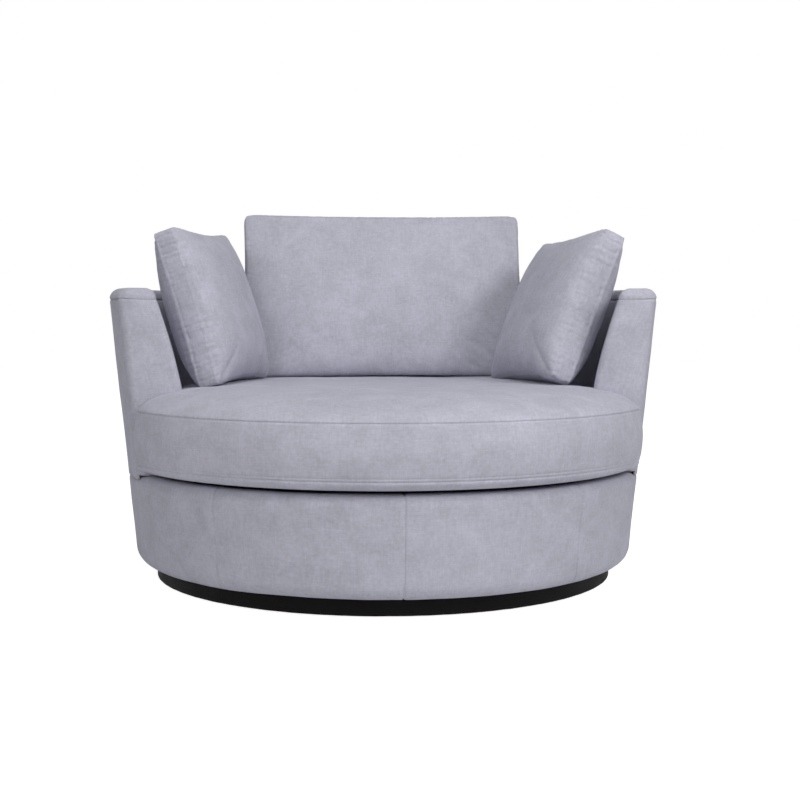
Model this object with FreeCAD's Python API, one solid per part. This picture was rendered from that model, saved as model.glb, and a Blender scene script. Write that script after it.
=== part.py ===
"""Round swivel cuddle chair: an upholstered barrel shell on a padded drum that turns on a black plinth.

Millimetres. Z is the swivel axis and points up, the floor is Z = 0, and the sitter faces -Y.
"""
import FreeCAD, Part
import os
from math import atan2, cos, hypot, pi, radians, sin, sqrt, tan

# Plinth that stands on the floor
PLINTH_RADIUS = 565.0
PLINTH_TOP = 40.5
PLINTH_COVER = 1.0
HOOP_THICKNESS = 16.0
PLINTH_BOARD = 12.0
PLINTH_EDGE = 2.0
PLINTH_TUCK = 14.0
RAIL_WIDTH = 70.0
CORNER_BLOCK_LENGTH = 90.0
GLIDE_HEIGHT = 4.0
GLIDE_RADIUS = 14.0
GLIDE_CHAMFER = 1.5
GLIDE_INSET = 31.0
GLIDE_STEM_RADIUS = 3.0
GLIDE_STEM_LENGTH = 10.0
GLIDE_COUNT = 8

# Ball bearing swivel
TRACK_RADIUS = 150.0
RACE_WIDTH = 44.0
RACE_THICKNESS = 4.0
BALL_RADIUS = 4.0
BALL_COUNT = 30
BALL_SINK = 1.1
RUNNING_FIT = 0.05
RETAINER_THICKNESS = 2.0
RETAINER_WIDTH = 16.0
SWIVEL_LIP = 1.5
SWIVEL_LIP_DEPTH = 4.5
SWIVEL_LIP_GAP = 0.4
SWIVEL_SIDE_GAP = 0.6
SWIVEL_NECK_GAP = 1.0
SWIVEL_BOLT_RADIUS = 3.0
SWIVEL_BOLT_HEAD = 1.5
SWIVEL_BOLT_EDGE = 8.0
SWIVEL_BOLT_COUNT = 6
HEAD_SPREAD = 1.8

# Drum under the seat
CHAIR_TO_PLINTH = 2.2
WALL_RADIUS = 636.0
WALL_FLARE = 0.11
BASE_TOP = 268.0
BASE_CORNER = 36.0
BASE_ROLL = 24.0
FLANGE_RADIUS = 590.0
BOARD = 18.0
BOARD_EDGE = 3.0
SEAT_BOARD_ROLL = 9.0
FRAME_INSET = 17.0
BEVEL_INSET = 12.0
PADDING_INSET = 8.0
COVER_TUCK = 28.0
DUST_COVER_GAP = 6.0
SKIN_PANEL = 6.0
BASE_RIB_COUNT = 8
BASE_RIB_DEPTH = 125.0
RIB_THICKNESS = 15.0

# Cloth and padding
COVER = 3.0
DUST_COVER = 0.8
OUTSIDE_PAD = 6.0
INSIDE_PAD = 32.0
RIM_PAD = 16.0
FRONT_PAD = 10.0
FLANGE_PAD = 3.0
SOFT_GAP = 0.3

# Barrel shell: back and arms in one
RIM_HEIGHT = 707.0
RIM_ROLL = 25.0
RIM_BAND = 26.0
ARM_FRONT = -250.0
WELL_RADIUS = 545.0
WELL_FLARE = 0.2
FLARE_START = 420.0
OUTSIDE_SEAM = 258.5
RAIL_HEIGHT = 18.0
SHELL_RIB_ANGLES = (0.0, 33.0, 66.0, 99.0)
SHELL_BOLT_TURN = 16.0
SHELL_BOLT_RADIUS = 4.0
BOLT_HEAD = 6.0

# Springs and deck
SPRING_OPENING_WIDTH = 760.0
SPRING_OPENING_DEPTH = 520.0
SPRING_COUNT = 8
SPRING_TURNS = 16
SPRING_AMPLITUDE = 30.0
SPRING_WIRE_RADIUS = 1.9
SPRING_SEAT = 2.6
CLIP_LENGTH = 24.0
CLIP_WIDTH = 14.0
CLIP_HEIGHT = 5.0
DECK_TOP = 275.5
DECK_CLOTH = 1.2
DECK_MARGIN = 2.0

# Seat cushion
SEAT_FRONT_RADIUS = 652.0
SEAT_BULGE = 8.0
SEAT_BOTTOM_SEAM = 298.0
SEAT_TOP_SEAM = 419.0
SEAT_CROWN = 53.0
SEAT_FRONT_REACH = 235.0
SEAT_WALL_REACH = 95.0
SEAT_UNDER_REACH = 45.0
SEAT_EAR_RADIUS = 24.0
SEAT_EAR_SLOPE = 0.25

# Back cushion
BACK_WIDTH = 775.0
BACK_HEIGHT = 472.0
BACK_BORDER = 105.0
BACK_CROWN = 42.0
BACK_OFFSET = 28.0
BACK_REAR_CROWN = 34.0
BACK_REACH = 190.0
BACK_LEAN = 18.5
BACK_DRAW = 9.0
BACK_CORNER = 22.0

# Scatter cushions
SCATTER_SIZE = 392.0
SCATTER_BORDER = 50.0
SCATTER_CROWN = 56.0
SCATTER_REAR_CROWN = 66.0
SCATTER_REACH = 170.0
SCATTER_DRAW = 13.0
SCATTER_CORNER = 12.0
SCATTER_SIDE = 428.0
SCATTER_FORWARD = 80.0
SCATTER_LIFT = 12.0
LEFT_TURN = 11.5
LEFT_LEAN = 24.0
LEFT_PITCH = -3.5
LEFT_FROM_BACK = 45.0
RIGHT_TURN = -16.7
RIGHT_LEAN = -17.5
RIGHT_PITCH = 0.0
RIGHT_FROM_BACK = 6.0

CUSHION_STEPS = 5
CROWN_ROUNDING = 0.7
CORNER_NIP = 0.3
DRAW_FADE = 0.8
SETTLE_MOVES = 60
SETTLE_TOLERANCE = 0.1

# Heights that follow from the sizes above
RACE_CLEAR = BALL_RADIUS + RUNNING_FIT - BALL_SINK
SWIVEL_HEIGHT = 2 * (RACE_THICKNESS + RACE_CLEAR)
CHAIR_BOTTOM = PLINTH_TOP + CHAIR_TO_PLINTH
BASE_BOARD_BOTTOM = CHAIR_BOTTOM + COVER
BASE_BOARD_TOP = BASE_BOARD_BOTTOM + BOARD
PLINTH_BOARD_TOP = BASE_BOARD_BOTTOM - SWIVEL_HEIGHT
PLINTH_BOARD_BOTTOM = PLINTH_BOARD_TOP - PLINTH_BOARD
BALL_HEIGHT = PLINTH_BOARD_TOP + RACE_THICKNESS + RACE_CLEAR
SWIVEL_BOLT_CIRCLE = TRACK_RADIUS - RACE_WIDTH / 2 + SWIVEL_BOLT_EDGE
SEAT_BOARD_TOP = BASE_TOP - COVER - FLANGE_PAD
SEAT_BOARD_BOTTOM = SEAT_BOARD_TOP - BOARD
DECK_BOTTOM = SEAT_BOARD_TOP + CLIP_HEIGHT + SOFT_GAP
FAR = 1200.0
PAST = 1.0

Z_AXIS = FreeCAD.Vector(0, 0, 1)
ORIGIN = FreeCAD.Vector(0, 0, 0)
nodes = {}


def outer_radius(z):
    """Radius of the fabric on the outside wall, a cone that flares upwards."""
    return WALL_RADIUS + WALL_FLARE * (z - BASE_TOP)


def inner_radius(z):
    """Radius of the fabric on the inside wall: upright beside the seat, flared above it."""
    return WELL_RADIUS + WELL_FLARE * max(0.0, z - FLARE_START)


def corner_edges(corners, place):
    """Closed edges through corners (a, b, radius), each rounded by an arc tangent to its sides."""
    stops = []
    for i, (a, b, radius) in enumerate(corners):
        if radius <= 0:
            stops.append((place(a, b),))
            continue
        before = corners[i - 1]
        after = corners[(i + 1) % len(corners)]
        u = (before[0] - a, before[1] - b)
        v = (after[0] - a, after[1] - b)
        lu, lv = hypot(*u), hypot(*v)
        u = (u[0] / lu, u[1] / lu)
        v = (v[0] / lv, v[1] / lv)
        half = abs(atan2(u[0] * v[1] - u[1] * v[0], u[0] * v[0] + u[1] * v[1])) / 2
        reach = radius / tan(half)
        middle = (u[0] + v[0], u[1] + v[1])
        length = hypot(*middle)
        depth = radius / sin(half) - radius
        stops.append((
            place(a + u[0] * reach, b + u[1] * reach),
            place(a + middle[0] / length * depth, b + middle[1] / length * depth),
            place(a + v[0] * reach, b + v[1] * reach),
        ))
    edges = []
    for i, stop in enumerate(stops):
        if len(stop) == 3:
            edges.append(Part.Arc(*stop).toShape())
        start = stop[-1]
        end = stops[(i + 1) % len(stops)][0]
        if start.distanceToPoint(end) > 1e-6:
            edges.append(Part.makeLine(start, end))
    return edges


def revolved(*corners):
    """Solid of revolution about the swivel axis from (radius, height, corner radius) corners."""
    full = [corner if len(corner) == 3 else (*corner, 0.0) for corner in corners]
    edges = corner_edges(full, lambda r, z: FreeCAD.Vector(r, 0, z))
    return Part.Face(Part.Wire(edges)).revolve(ORIGIN, Z_AXIS, 360)


def ring(inner, outer, bottom, top):
    return revolved((inner, bottom), (outer, bottom), (outer, top), (inner, top))


def disc(radius, bottom, top):
    return Part.makeCylinder(radius, top - bottom, FreeCAD.Vector(0, 0, bottom))


def block(x0, x1, y0, y1, z0, z1):
    return Part.makeBox(x1 - x0, y1 - y0, z1 - z0, FreeCAD.Vector(x0, y0, z0))


def pin(x, y, radius, bottom, top):
    return Part.makeCylinder(radius, top - bottom, FreeCAD.Vector(x, y, bottom))


def around(count, radius, first=0.0):
    """Points evenly spaced on a circle; angles are counted from the front, to the sitter's left."""
    turns = [radians(first + 360.0 * i / count) for i in range(count)]
    return [(radius * sin(t), -radius * cos(t)) for t in turns]


def turned(shape, degrees):
    shape = shape.copy()
    shape.rotate(ORIGIN, Z_AXIS, degrees)
    return shape


def behind(shape, y):
    """What lies behind the upright plane at y."""
    return shape.common(block(-FAR, FAR, y, FAR, -FAR, FAR))


def slab(shape, front, back):
    return shape.common(block(-FAR, FAR, front, back, -FAR, FAR))


def side(shape, sign):
    low, high = (0.0, FAR) if sign > 0 else (-FAR, 0.0)
    return shape.common(block(low, high, -FAR, FAR, -FAR, FAR))


def group(solids):
    return Part.makeCompound(solids)


def keep(name, shape):
    nodes[name] = shape.removeSplitter() if shape.ShapeType != "Compound" else shape


# Plinth: a bent plywood hoop and a round board on two crossed rails, wrapped in black cloth

def make_plinth():
    hoop_outer = PLINTH_RADIUS - PLINTH_COVER
    hoop_inner = hoop_outer - HOOP_THICKNESS
    hoop_bottom = GLIDE_HEIGHT
    hoop_top = PLINTH_TOP - PLINTH_COVER
    keep("plinth_hoop", ring(hoop_inner, hoop_outer, hoop_bottom, hoop_top))

    board = disc(hoop_inner, PLINTH_BOARD_BOTTOM, PLINTH_BOARD_TOP)
    for x, y in around(SWIVEL_BOLT_COUNT, SWIVEL_BOLT_CIRCLE):
        board = board.cut(pin(x, y, SWIVEL_BOLT_RADIUS, PLINTH_BOARD_BOTTOM - PAST, PLINTH_BOARD_TOP + PAST))
    keep("plinth_board", board)

    inside = disc(hoop_inner, GLIDE_HEIGHT, PLINTH_BOARD_BOTTOM)
    half = RAIL_WIDTH / 2
    half_lap = (GLIDE_HEIGHT + PLINTH_BOARD_BOTTOM) / 2
    across = block(-FAR, FAR, -half, half, GLIDE_HEIGHT, PLINTH_BOARD_BOTTOM).common(inside)
    lap = block(-half, half, -half, half, half_lap, PLINTH_BOARD_BOTTOM)
    along = turned(across, 90)
    lower_lap = lap.translated(FreeCAD.Vector(0, 0, GLIDE_HEIGHT - half_lap))

    spots = [(0.0, 0.0)] + around(GLIDE_COUNT, hoop_inner - GLIDE_INSET)
    corner = block(hoop_inner - CORNER_BLOCK_LENGTH, FAR, -half, half, GLIDE_HEIGHT, PLINTH_BOARD_BOTTOM)
    blocks = [turned(corner.common(inside), 45 + 90 * i) for i in range(4)]

    stem_top = GLIDE_HEIGHT + GLIDE_STEM_LENGTH
    stem_holes = group([pin(x, y, GLIDE_STEM_RADIUS, GLIDE_HEIGHT - PAST, stem_top) for x, y in spots])
    keep("plinth_rail_across", across.cut(lap).cut(stem_holes))
    keep("plinth_rail_front_to_back", along.cut(lower_lap).cut(stem_holes))
    keep("plinth_corner_blocks", group([b.cut(stem_holes) for b in blocks]))

    glides = []
    for x, y in spots:
        foot = Part.makeCone(GLIDE_RADIUS - GLIDE_CHAMFER, GLIDE_RADIUS, GLIDE_CHAMFER,
                             FreeCAD.Vector(x, y, 0))
        foot = foot.fuse(pin(x, y, GLIDE_RADIUS, GLIDE_CHAMFER, GLIDE_HEIGHT))
        stem = pin(x, y, GLIDE_STEM_RADIUS, GLIDE_HEIGHT, stem_top)
        glides.append(foot.fuse(stem).removeSplitter())
    keep("plinth_glides", group(glides))

    under = hoop_bottom - PLINTH_COVER
    tuck = hoop_outer - PLINTH_TUCK
    keep("plinth_cover", revolved(
        (tuck, under), (PLINTH_RADIUS, under, PLINTH_EDGE), (PLINTH_RADIUS, PLINTH_TOP, PLINTH_EDGE),
        (hoop_inner, PLINTH_TOP), (hoop_inner, hoop_top), (hoop_outer, hoop_top),
        (hoop_outer, hoop_bottom), (tuck, hoop_bottom)))


# Swivel: two pressed steel rings with a row of balls between them

def make_swivel():
    inner = TRACK_RADIUS - RACE_WIDTH / 2
    outer = TRACK_RADIUS + RACE_WIDTH / 2
    race_top = PLINTH_BOARD_TOP + RACE_THICKNESS
    upper_bottom = BALL_HEIGHT + RACE_CLEAR
    track = Part.makeTorus(TRACK_RADIUS, BALL_RADIUS + RUNNING_FIT, FreeCAD.Vector(0, 0, BALL_HEIGHT))

    flange_top = upper_bottom + SWIVEL_LIP
    lip_bottom = flange_top + SWIVEL_LIP_GAP
    wall_inner = outer - SWIVEL_LIP
    lip_inner = wall_inner - SWIVEL_LIP_DEPTH
    flange = wall_inner - SWIVEL_SIDE_GAP
    neck = lip_inner - SWIVEL_NECK_GAP
    lower = revolved(
        (inner, PLINTH_BOARD_TOP), (outer, PLINTH_BOARD_TOP), (outer, lip_bottom + SWIVEL_LIP),
        (lip_inner, lip_bottom + SWIVEL_LIP), (lip_inner, lip_bottom), (wall_inner, lip_bottom),
        (wall_inner, race_top), (inner, race_top)).cut(track)
    upper = revolved(
        (inner, upper_bottom), (flange, upper_bottom), (flange, flange_top),
        (neck, flange_top), (neck, BASE_BOARD_BOTTOM), (inner, BASE_BOARD_BOTTOM)).cut(track)

    head_radius = SWIVEL_BOLT_RADIUS * HEAD_SPREAD
    lower_bolts, upper_bolts = [], []
    for x, y in around(SWIVEL_BOLT_COUNT, SWIVEL_BOLT_CIRCLE):
        lower = lower.cut(pin(x, y, SWIVEL_BOLT_RADIUS, 0, race_top + PAST))
        head = pin(x, y, head_radius, race_top, race_top + SWIVEL_BOLT_HEAD)
        shank = pin(x, y, SWIVEL_BOLT_RADIUS, PLINTH_BOARD_BOTTOM, race_top)
        lower_bolts.append(head.fuse(shank).removeSplitter())
    for x, y in around(SWIVEL_BOLT_COUNT, SWIVEL_BOLT_CIRCLE, 180.0 / SWIVEL_BOLT_COUNT):
        upper = upper.cut(pin(x, y, SWIVEL_BOLT_RADIUS, upper_bottom - PAST, FAR))
        head = pin(x, y, head_radius, upper_bottom - SWIVEL_BOLT_HEAD, upper_bottom)
        shank = pin(x, y, SWIVEL_BOLT_RADIUS, upper_bottom, BASE_BOARD_TOP)
        upper_bolts.append(head.fuse(shank).removeSplitter())
    keep("swivel_lower_ring", lower)
    keep("swivel_upper_ring", upper)
    keep("swivel_lower_bolts", group(lower_bolts))
    keep("swivel_upper_bolts", group(upper_bolts))

    seats = around(BALL_COUNT, TRACK_RADIUS)
    keep("swivel_balls", group([
        Part.makeSphere(BALL_RADIUS, FreeCAD.Vector(x, y, BALL_HEIGHT)) for x, y in seats]))
    half = RETAINER_THICKNESS / 2
    retainer = ring(TRACK_RADIUS - RETAINER_WIDTH / 2, TRACK_RADIUS + RETAINER_WIDTH / 2,
                    BALL_HEIGHT - half, BALL_HEIGHT + half)
    pockets = group([
        pin(x, y, BALL_RADIUS + RUNNING_FIT, BALL_HEIGHT - FAR, BALL_HEIGHT + FAR) for x, y in seats])
    keep("ball_retainer", retainer.cut(pockets))


# Drum: bevelled base board, upright ribs, bent hoop and seat board, padded and covered

def frame_radius(z):
    return outer_radius(z) - FRAME_INSET


def make_base():
    flat_edge = outer_radius(CHAIR_BOTTOM) - BASE_CORNER
    bevel_start = flat_edge - BEVEL_INSET
    bevel_top = BASE_BOARD_TOP - BOARD_EDGE
    board = revolved(
        (0, BASE_BOARD_BOTTOM), (bevel_start, BASE_BOARD_BOTTOM), (frame_radius(bevel_top), bevel_top),
        (frame_radius(BASE_BOARD_TOP), BASE_BOARD_TOP), (0, BASE_BOARD_TOP))
    for x, y in around(SWIVEL_BOLT_COUNT, SWIVEL_BOLT_CIRCLE, 180.0 / SWIVEL_BOLT_COUNT):
        board = board.cut(pin(x, y, SWIVEL_BOLT_RADIUS, 0, FAR))
    keep("base_board", board)

    hoop = revolved(
        (frame_radius(BASE_BOARD_TOP) - SKIN_PANEL, BASE_BOARD_TOP),
        (frame_radius(BASE_BOARD_TOP), BASE_BOARD_TOP),
        (frame_radius(SEAT_BOARD_BOTTOM), SEAT_BOARD_BOTTOM),
        (frame_radius(SEAT_BOARD_BOTTOM) - SKIN_PANEL, SEAT_BOARD_BOTTOM))
    keep("base_hoop", hoop)

    reach = frame_radius(BASE_BOARD_TOP) - SKIN_PANEL
    rib = block(reach - BASE_RIB_DEPTH, FAR, -RIB_THICKNESS / 2, RIB_THICKNESS / 2,
                BASE_BOARD_TOP, SEAT_BOARD_BOTTOM)
    rib = rib.common(revolved(
        (0, BASE_BOARD_TOP), (reach, BASE_BOARD_TOP),
        (frame_radius(SEAT_BOARD_BOTTOM) - SKIN_PANEL, SEAT_BOARD_BOTTOM), (0, SEAT_BOARD_BOTTOM)))
    step = 360.0 / BASE_RIB_COUNT
    keep("base_ribs", group([turned(rib, step * (i + 0.5)) for i in range(BASE_RIB_COUNT)]))

    lip = frame_radius(SEAT_BOARD_TOP)
    seat_board = revolved(
        (0, SEAT_BOARD_BOTTOM), (frame_radius(SEAT_BOARD_BOTTOM), SEAT_BOARD_BOTTOM),
        (lip, SEAT_BOARD_TOP, SEAT_BOARD_ROLL), (0, SEAT_BOARD_TOP))
    opening = block(-SPRING_OPENING_WIDTH / 2, SPRING_OPENING_WIDTH / 2,
                    -SPRING_OPENING_DEPTH / 2, SPRING_OPENING_DEPTH / 2, 0, FAR)
    holes = group([pin(x, y, SHELL_BOLT_RADIUS, SEAT_BOARD_BOTTOM - PAST, FAR) for x, y in bolt_spots()])
    keep("seat_board", seat_board.cut(opening).cut(holes))

    start = flat_edge - PADDING_INSET
    bevel_slope = (bevel_top - BASE_BOARD_BOTTOM) / (frame_radius(bevel_top) - bevel_start)
    padding = revolved(
        (start, BASE_BOARD_BOTTOM),
        (outer_radius(BASE_BOARD_BOTTOM) - COVER, BASE_BOARD_BOTTOM, BASE_CORNER - COVER),
        (outer_radius(BASE_TOP - COVER) - COVER, BASE_TOP - COVER, BASE_ROLL - COVER),
        (FLANGE_RADIUS, BASE_TOP - COVER), (FLANGE_RADIUS, SEAT_BOARD_TOP),
        (lip, SEAT_BOARD_TOP, SEAT_BOARD_ROLL),
        (frame_radius(BASE_BOARD_TOP), BASE_BOARD_TOP), (frame_radius(bevel_top), bevel_top),
        (start, BASE_BOARD_BOTTOM + bevel_slope * (start - bevel_start)))
    keep("base_padding", padding.cut(holes))

    edge = flat_edge - COVER_TUCK
    cover = revolved(
        (edge, CHAIR_BOTTOM),
        (outer_radius(CHAIR_BOTTOM), CHAIR_BOTTOM, BASE_CORNER),
        (outer_radius(BASE_TOP), BASE_TOP, BASE_ROLL),
        (FLANGE_RADIUS, BASE_TOP), (FLANGE_RADIUS, BASE_TOP - COVER),
        (outer_radius(BASE_TOP - COVER) - COVER, BASE_TOP - COVER, BASE_ROLL - COVER),
        (outer_radius(BASE_BOARD_BOTTOM) - COVER, BASE_BOARD_BOTTOM, BASE_CORNER - COVER),
        (edge, BASE_BOARD_BOTTOM))
    keep("base_cover", cover.cut(holes))
    keep("dust_cover", ring(TRACK_RADIUS + RACE_WIDTH / 2 + DUST_COVER_GAP, edge,
                            BASE_BOARD_BOTTOM - DUST_COVER, BASE_BOARD_BOTTOM))


def bolt_spots():
    """Where the shell is bolted to the seat board, midway across the shell's bottom rail."""
    radius = FLANGE_RADIUS + 2 * SHELL_BOLT_RADIUS
    angles = [180 + sign * (angle + SHELL_BOLT_TURN) for angle in SHELL_RIB_ANGLES[:3] for sign in (-1, 1)]
    return [(radius * sin(radians(a)), -radius * cos(radians(a))) for a in angles]


# Springs: sinuous wires clipped across the opening of the seat board

def spring_path(x, z):
    """Straight runs across the spring joined by half turns, one unbroken line."""
    front = -SPRING_OPENING_DEPTH / 2 - CLIP_WIDTH
    pitch = -2 * front / SPRING_TURNS
    turn = pitch / 2
    half = SPRING_AMPLITUDE - turn
    edges = []
    direction = 1
    for i in range(SPRING_TURNS + 1):
        y = front + i * pitch
        edges.append(Part.makeLine(FreeCAD.Vector(x - direction * half, y, z),
                                   FreeCAD.Vector(x + direction * half, y, z)))
        if i < SPRING_TURNS:
            end = x + direction * half
            edges.append(Part.Arc(FreeCAD.Vector(end, y, z),
                                  FreeCAD.Vector(end + direction * turn, y + turn, z),
                                  FreeCAD.Vector(end, y + pitch, z)).toShape())
        direction = -direction
    return Part.Wire(edges)


def make_springs():
    z = SEAT_BOARD_TOP + SPRING_SEAT
    pitch = SPRING_OPENING_WIDTH / SPRING_COUNT
    clip_y = SPRING_OPENING_DEPTH / 2 + CLIP_WIDTH
    springs, clips = [], []
    for i in range(SPRING_COUNT):
        x = (i - (SPRING_COUNT - 1) / 2) * pitch
        path = spring_path(x, z)
        start = path.Edges[0].valueAt(path.Edges[0].FirstParameter)
        section = Part.Wire(Part.makeCircle(SPRING_WIRE_RADIUS, start, FreeCAD.Vector(1, 0, 0)))
        springs.append(path.makePipeShell([section], True, False))
        for sign in (-1, 1):
            y = sign * clip_y
            clip = block(x - CLIP_LENGTH / 2, x + CLIP_LENGTH / 2, y - CLIP_WIDTH / 2,
                         y + CLIP_WIDTH / 2, SEAT_BOARD_TOP, SEAT_BOARD_TOP + CLIP_HEIGHT)
            bore = Part.makeCylinder(SPRING_WIRE_RADIUS + RUNNING_FIT, CLIP_LENGTH + 2 * PAST,
                                     FreeCAD.Vector(x - CLIP_LENGTH / 2 - PAST, y, z),
                                     FreeCAD.Vector(1, 0, 0))
            clips.append(clip.cut(bore))
    keep("seat_springs", group(springs))
    keep("spring_clips", group(clips))


# Outline shared by the seat cushion and its deck: round in front, with ears before the arms

def seat_outline(z, front, wall, ear_line, ear, nose=0.0):
    """Wire of a disc of radius front that steps in to radius wall behind ear_line.

    The front arc passes through nose, if given, a smaller radius where the crown slopes further in.
    """
    def point(x, y):
        return FreeCAD.Vector(x, y, z)
    centre_y = ear_line - ear
    centre_x = sqrt((front - ear) ** 2 - centre_y ** 2)
    grow = front / (front - ear)
    tangent = (centre_x * grow, centre_y * grow)
    away = atan2(tangent[1], tangent[0])
    middle = (away + pi / 2) / 2
    bend = (centre_x + ear * cos(middle), centre_y + ear * sin(middle))
    step = sqrt(wall ** 2 - ear_line ** 2)
    side_angle = (atan2(ear_line, step) + pi / 2) / 2
    shoulder = (wall * cos(side_angle), wall * sin(side_angle))
    return Part.Wire([
        Part.Arc(point(-tangent[0], tangent[1]), point(0, -(nose or front)), point(*tangent)).toShape(),
        Part.Arc(point(*tangent), point(*bend), point(centre_x, ear_line)).toShape(),
        Part.makeLine(point(centre_x, ear_line), point(step, ear_line)),
        Part.Arc(point(step, ear_line), point(*shoulder), point(0, wall)).toShape(),
        Part.Arc(point(0, wall), point(-shoulder[0], shoulder[1]), point(-step, ear_line)).toShape(),
        Part.makeLine(point(-step, ear_line), point(-centre_x, ear_line)),
        Part.Arc(point(-centre_x, ear_line), point(-bend[0], bend[1]),
                 point(-tangent[0], tangent[1])).toShape(),
    ])


def make_deck():
    front = FLANGE_RADIUS - DECK_MARGIN
    wall = WELL_RADIUS - SOFT_GAP
    line = ARM_FRONT - SOFT_GAP

    def layer(shrink, bottom, top):
        outline = seat_outline(bottom, front - shrink, wall - shrink, line - shrink, SEAT_EAR_RADIUS)
        return Part.Face(outline).extrude(Z_AXIS * (top - bottom))
    keep("deck_pad", layer(DECK_CLOTH, DECK_BOTTOM, DECK_TOP - DECK_CLOTH))
    wrap = layer(0.0, DECK_BOTTOM, DECK_TOP)
    keep("deck_cloth", wrap.cut(layer(DECK_CLOTH, DECK_BOTTOM - PAST, DECK_TOP - DECK_CLOTH)))


# Barrel shell: bottom rail, ribs and top rail between two bent panels, padded and covered

def shell_ring(outer_inset, inner_inset, top_inset, bottom, rolled=True):
    """Full ring of the shell's cross-section, taken in from the fabric on each side."""
    top = RIM_HEIGHT - top_inset
    roll = max(RIM_ROLL - top_inset, 0.0) if rolled else 0.0
    return revolved(
        (inner_radius(bottom) + inner_inset, bottom),
        (outer_radius(bottom) - outer_inset, bottom),
        (outer_radius(top) - outer_inset, top, roll),
        (inner_radius(top) + inner_inset, top, roll),
        (inner_radius(FLARE_START) + inner_inset, FLARE_START))


def mid_radius(z):
    """Radius halfway across the frame, between the panel inside and the panel outside."""
    return (inner_radius(z) + INSIDE_PAD + outer_radius(z) - OUTSIDE_PAD) / 2


def make_shell():
    board_front = ARM_FRONT + COVER + FRONT_PAD
    frame_front = board_front + BOARD
    outer_frame = COVER + OUTSIDE_PAD
    inner_frame = COVER + INSIDE_PAD
    top_frame = COVER + RIM_PAD
    over_base = ring(FLANGE_RADIUS - SOFT_GAP, FAR, -FAR, BASE_TOP)
    lowest = SEAT_BOARD_TOP

    core = shell_ring(outer_frame, inner_frame, top_frame, lowest).cut(over_base)
    hollow = shell_ring(outer_frame + SKIN_PANEL, inner_frame + SKIN_PANEL, top_frame, BASE_TOP)
    between_panels = shell_ring(outer_frame + SKIN_PANEL, inner_frame + SKIN_PANEL,
                                top_frame - PAST, lowest - PAST, rolled=False)
    panels = behind(core.cut(between_panels), frame_front)
    middle = revolved((0, 0), (mid_radius(0), 0), (mid_radius(RIM_HEIGHT), RIM_HEIGHT), (0, RIM_HEIGHT))
    keep("shell_outer_panel", panels.cut(middle))
    keep("shell_inner_panel", panels.common(middle))

    frame = behind(hollow, frame_front)
    holes = group([pin(x, y, SHELL_BOLT_RADIUS, 0, BASE_TOP + RAIL_HEIGHT) for x, y in bolt_spots()])
    rail_top = BASE_TOP + RAIL_HEIGHT
    cap_bottom = RIM_HEIGHT - top_frame - RAIL_HEIGHT
    keep("shell_bottom_rail", frame.common(disc(FAR, BASE_TOP, rail_top)).cut(holes))
    keep("shell_top_rail", frame.common(disc(FAR, cap_bottom, RIM_HEIGHT)))
    between = frame.common(disc(FAR, rail_top, cap_bottom))
    plate = block(0, FAR, -RIB_THICKNESS / 2, RIB_THICKNESS / 2, 0, RIM_HEIGHT)
    turns = [90 + sign * angle for angle in SHELL_RIB_ANGLES for sign in (-1, 1) if angle or sign > 0]
    keep("shell_ribs", group([between.common(turned(plate, t)) for t in turns]))

    bolts = []
    for x, y in bolt_spots():
        head = pin(x, y, SHELL_BOLT_RADIUS * HEAD_SPREAD, SEAT_BOARD_BOTTOM - BOLT_HEAD, SEAT_BOARD_BOTTOM)
        bolts.append(head.fuse(pin(x, y, SHELL_BOLT_RADIUS, SEAT_BOARD_BOTTOM, rail_top)))
    keep("shell_bolts", group([bolt.removeSplitter() for bolt in bolts]))

    fronts = slab(core, board_front, frame_front)
    keep("arm_front_board_right", side(fronts, -1))
    keep("arm_front_board_left", side(fronts, 1))

    padding = behind(shell_ring(COVER, COVER, COVER, lowest).cut(over_base), ARM_FRONT + COVER)
    keep("shell_padding", padding.cut(behind(shell_ring(outer_frame, inner_frame, top_frame, lowest - PAST),
                                             board_front)))

    whole = shell_ring(0.0, 0.0, 0.0, lowest)
    skin = whole.cut(shell_ring(COVER, COVER, COVER, lowest - PAST))
    skin = behind(skin, ARM_FRONT + COVER)
    tail_top = BASE_TOP + RAIL_HEIGHT
    tail = behind(revolved(
        (outer_radius(OUTSIDE_SEAM) - COVER, OUTSIDE_SEAM), (outer_radius(OUTSIDE_SEAM), OUTSIDE_SEAM),
        (outer_radius(tail_top), tail_top), (outer_radius(tail_top) - COVER, tail_top)), ARM_FRONT + COVER)
    face = slab(whole.cut(over_base), ARM_FRONT, ARM_FRONT + COVER)
    above = disc(FAR, RIM_HEIGHT - RIM_BAND, RIM_HEIGHT + PAST)
    below = disc(FAR, 0, RIM_HEIGHT - RIM_BAND)
    keep("rim_cover", skin.fuse(face).common(above))
    outside = skin.cut(middle).cut(ring(FLANGE_RADIUS, FAR, 0, BASE_TOP)).fuse(tail)
    keep("outside_cover", outside.common(below))
    keep("inside_cover", skin.common(middle).common(below))
    keep("arm_front_cover_right", side(face, -1).common(below))
    keep("arm_front_cover_left", side(face, 1).common(below))


# Cushions: each is a stack of outlines that bulge at the border and close over a crown

def crown_steps(height, reach):
    """(rise, inset) pairs along a quarter of an ellipse, from the seam to the top."""
    turns = [pi / 2 * (i + 1) / CUSHION_STEPS for i in range(CUSHION_STEPS)]
    return [(height * sin(t), reach * (1 - cos(t))) for t in turns]


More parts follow.
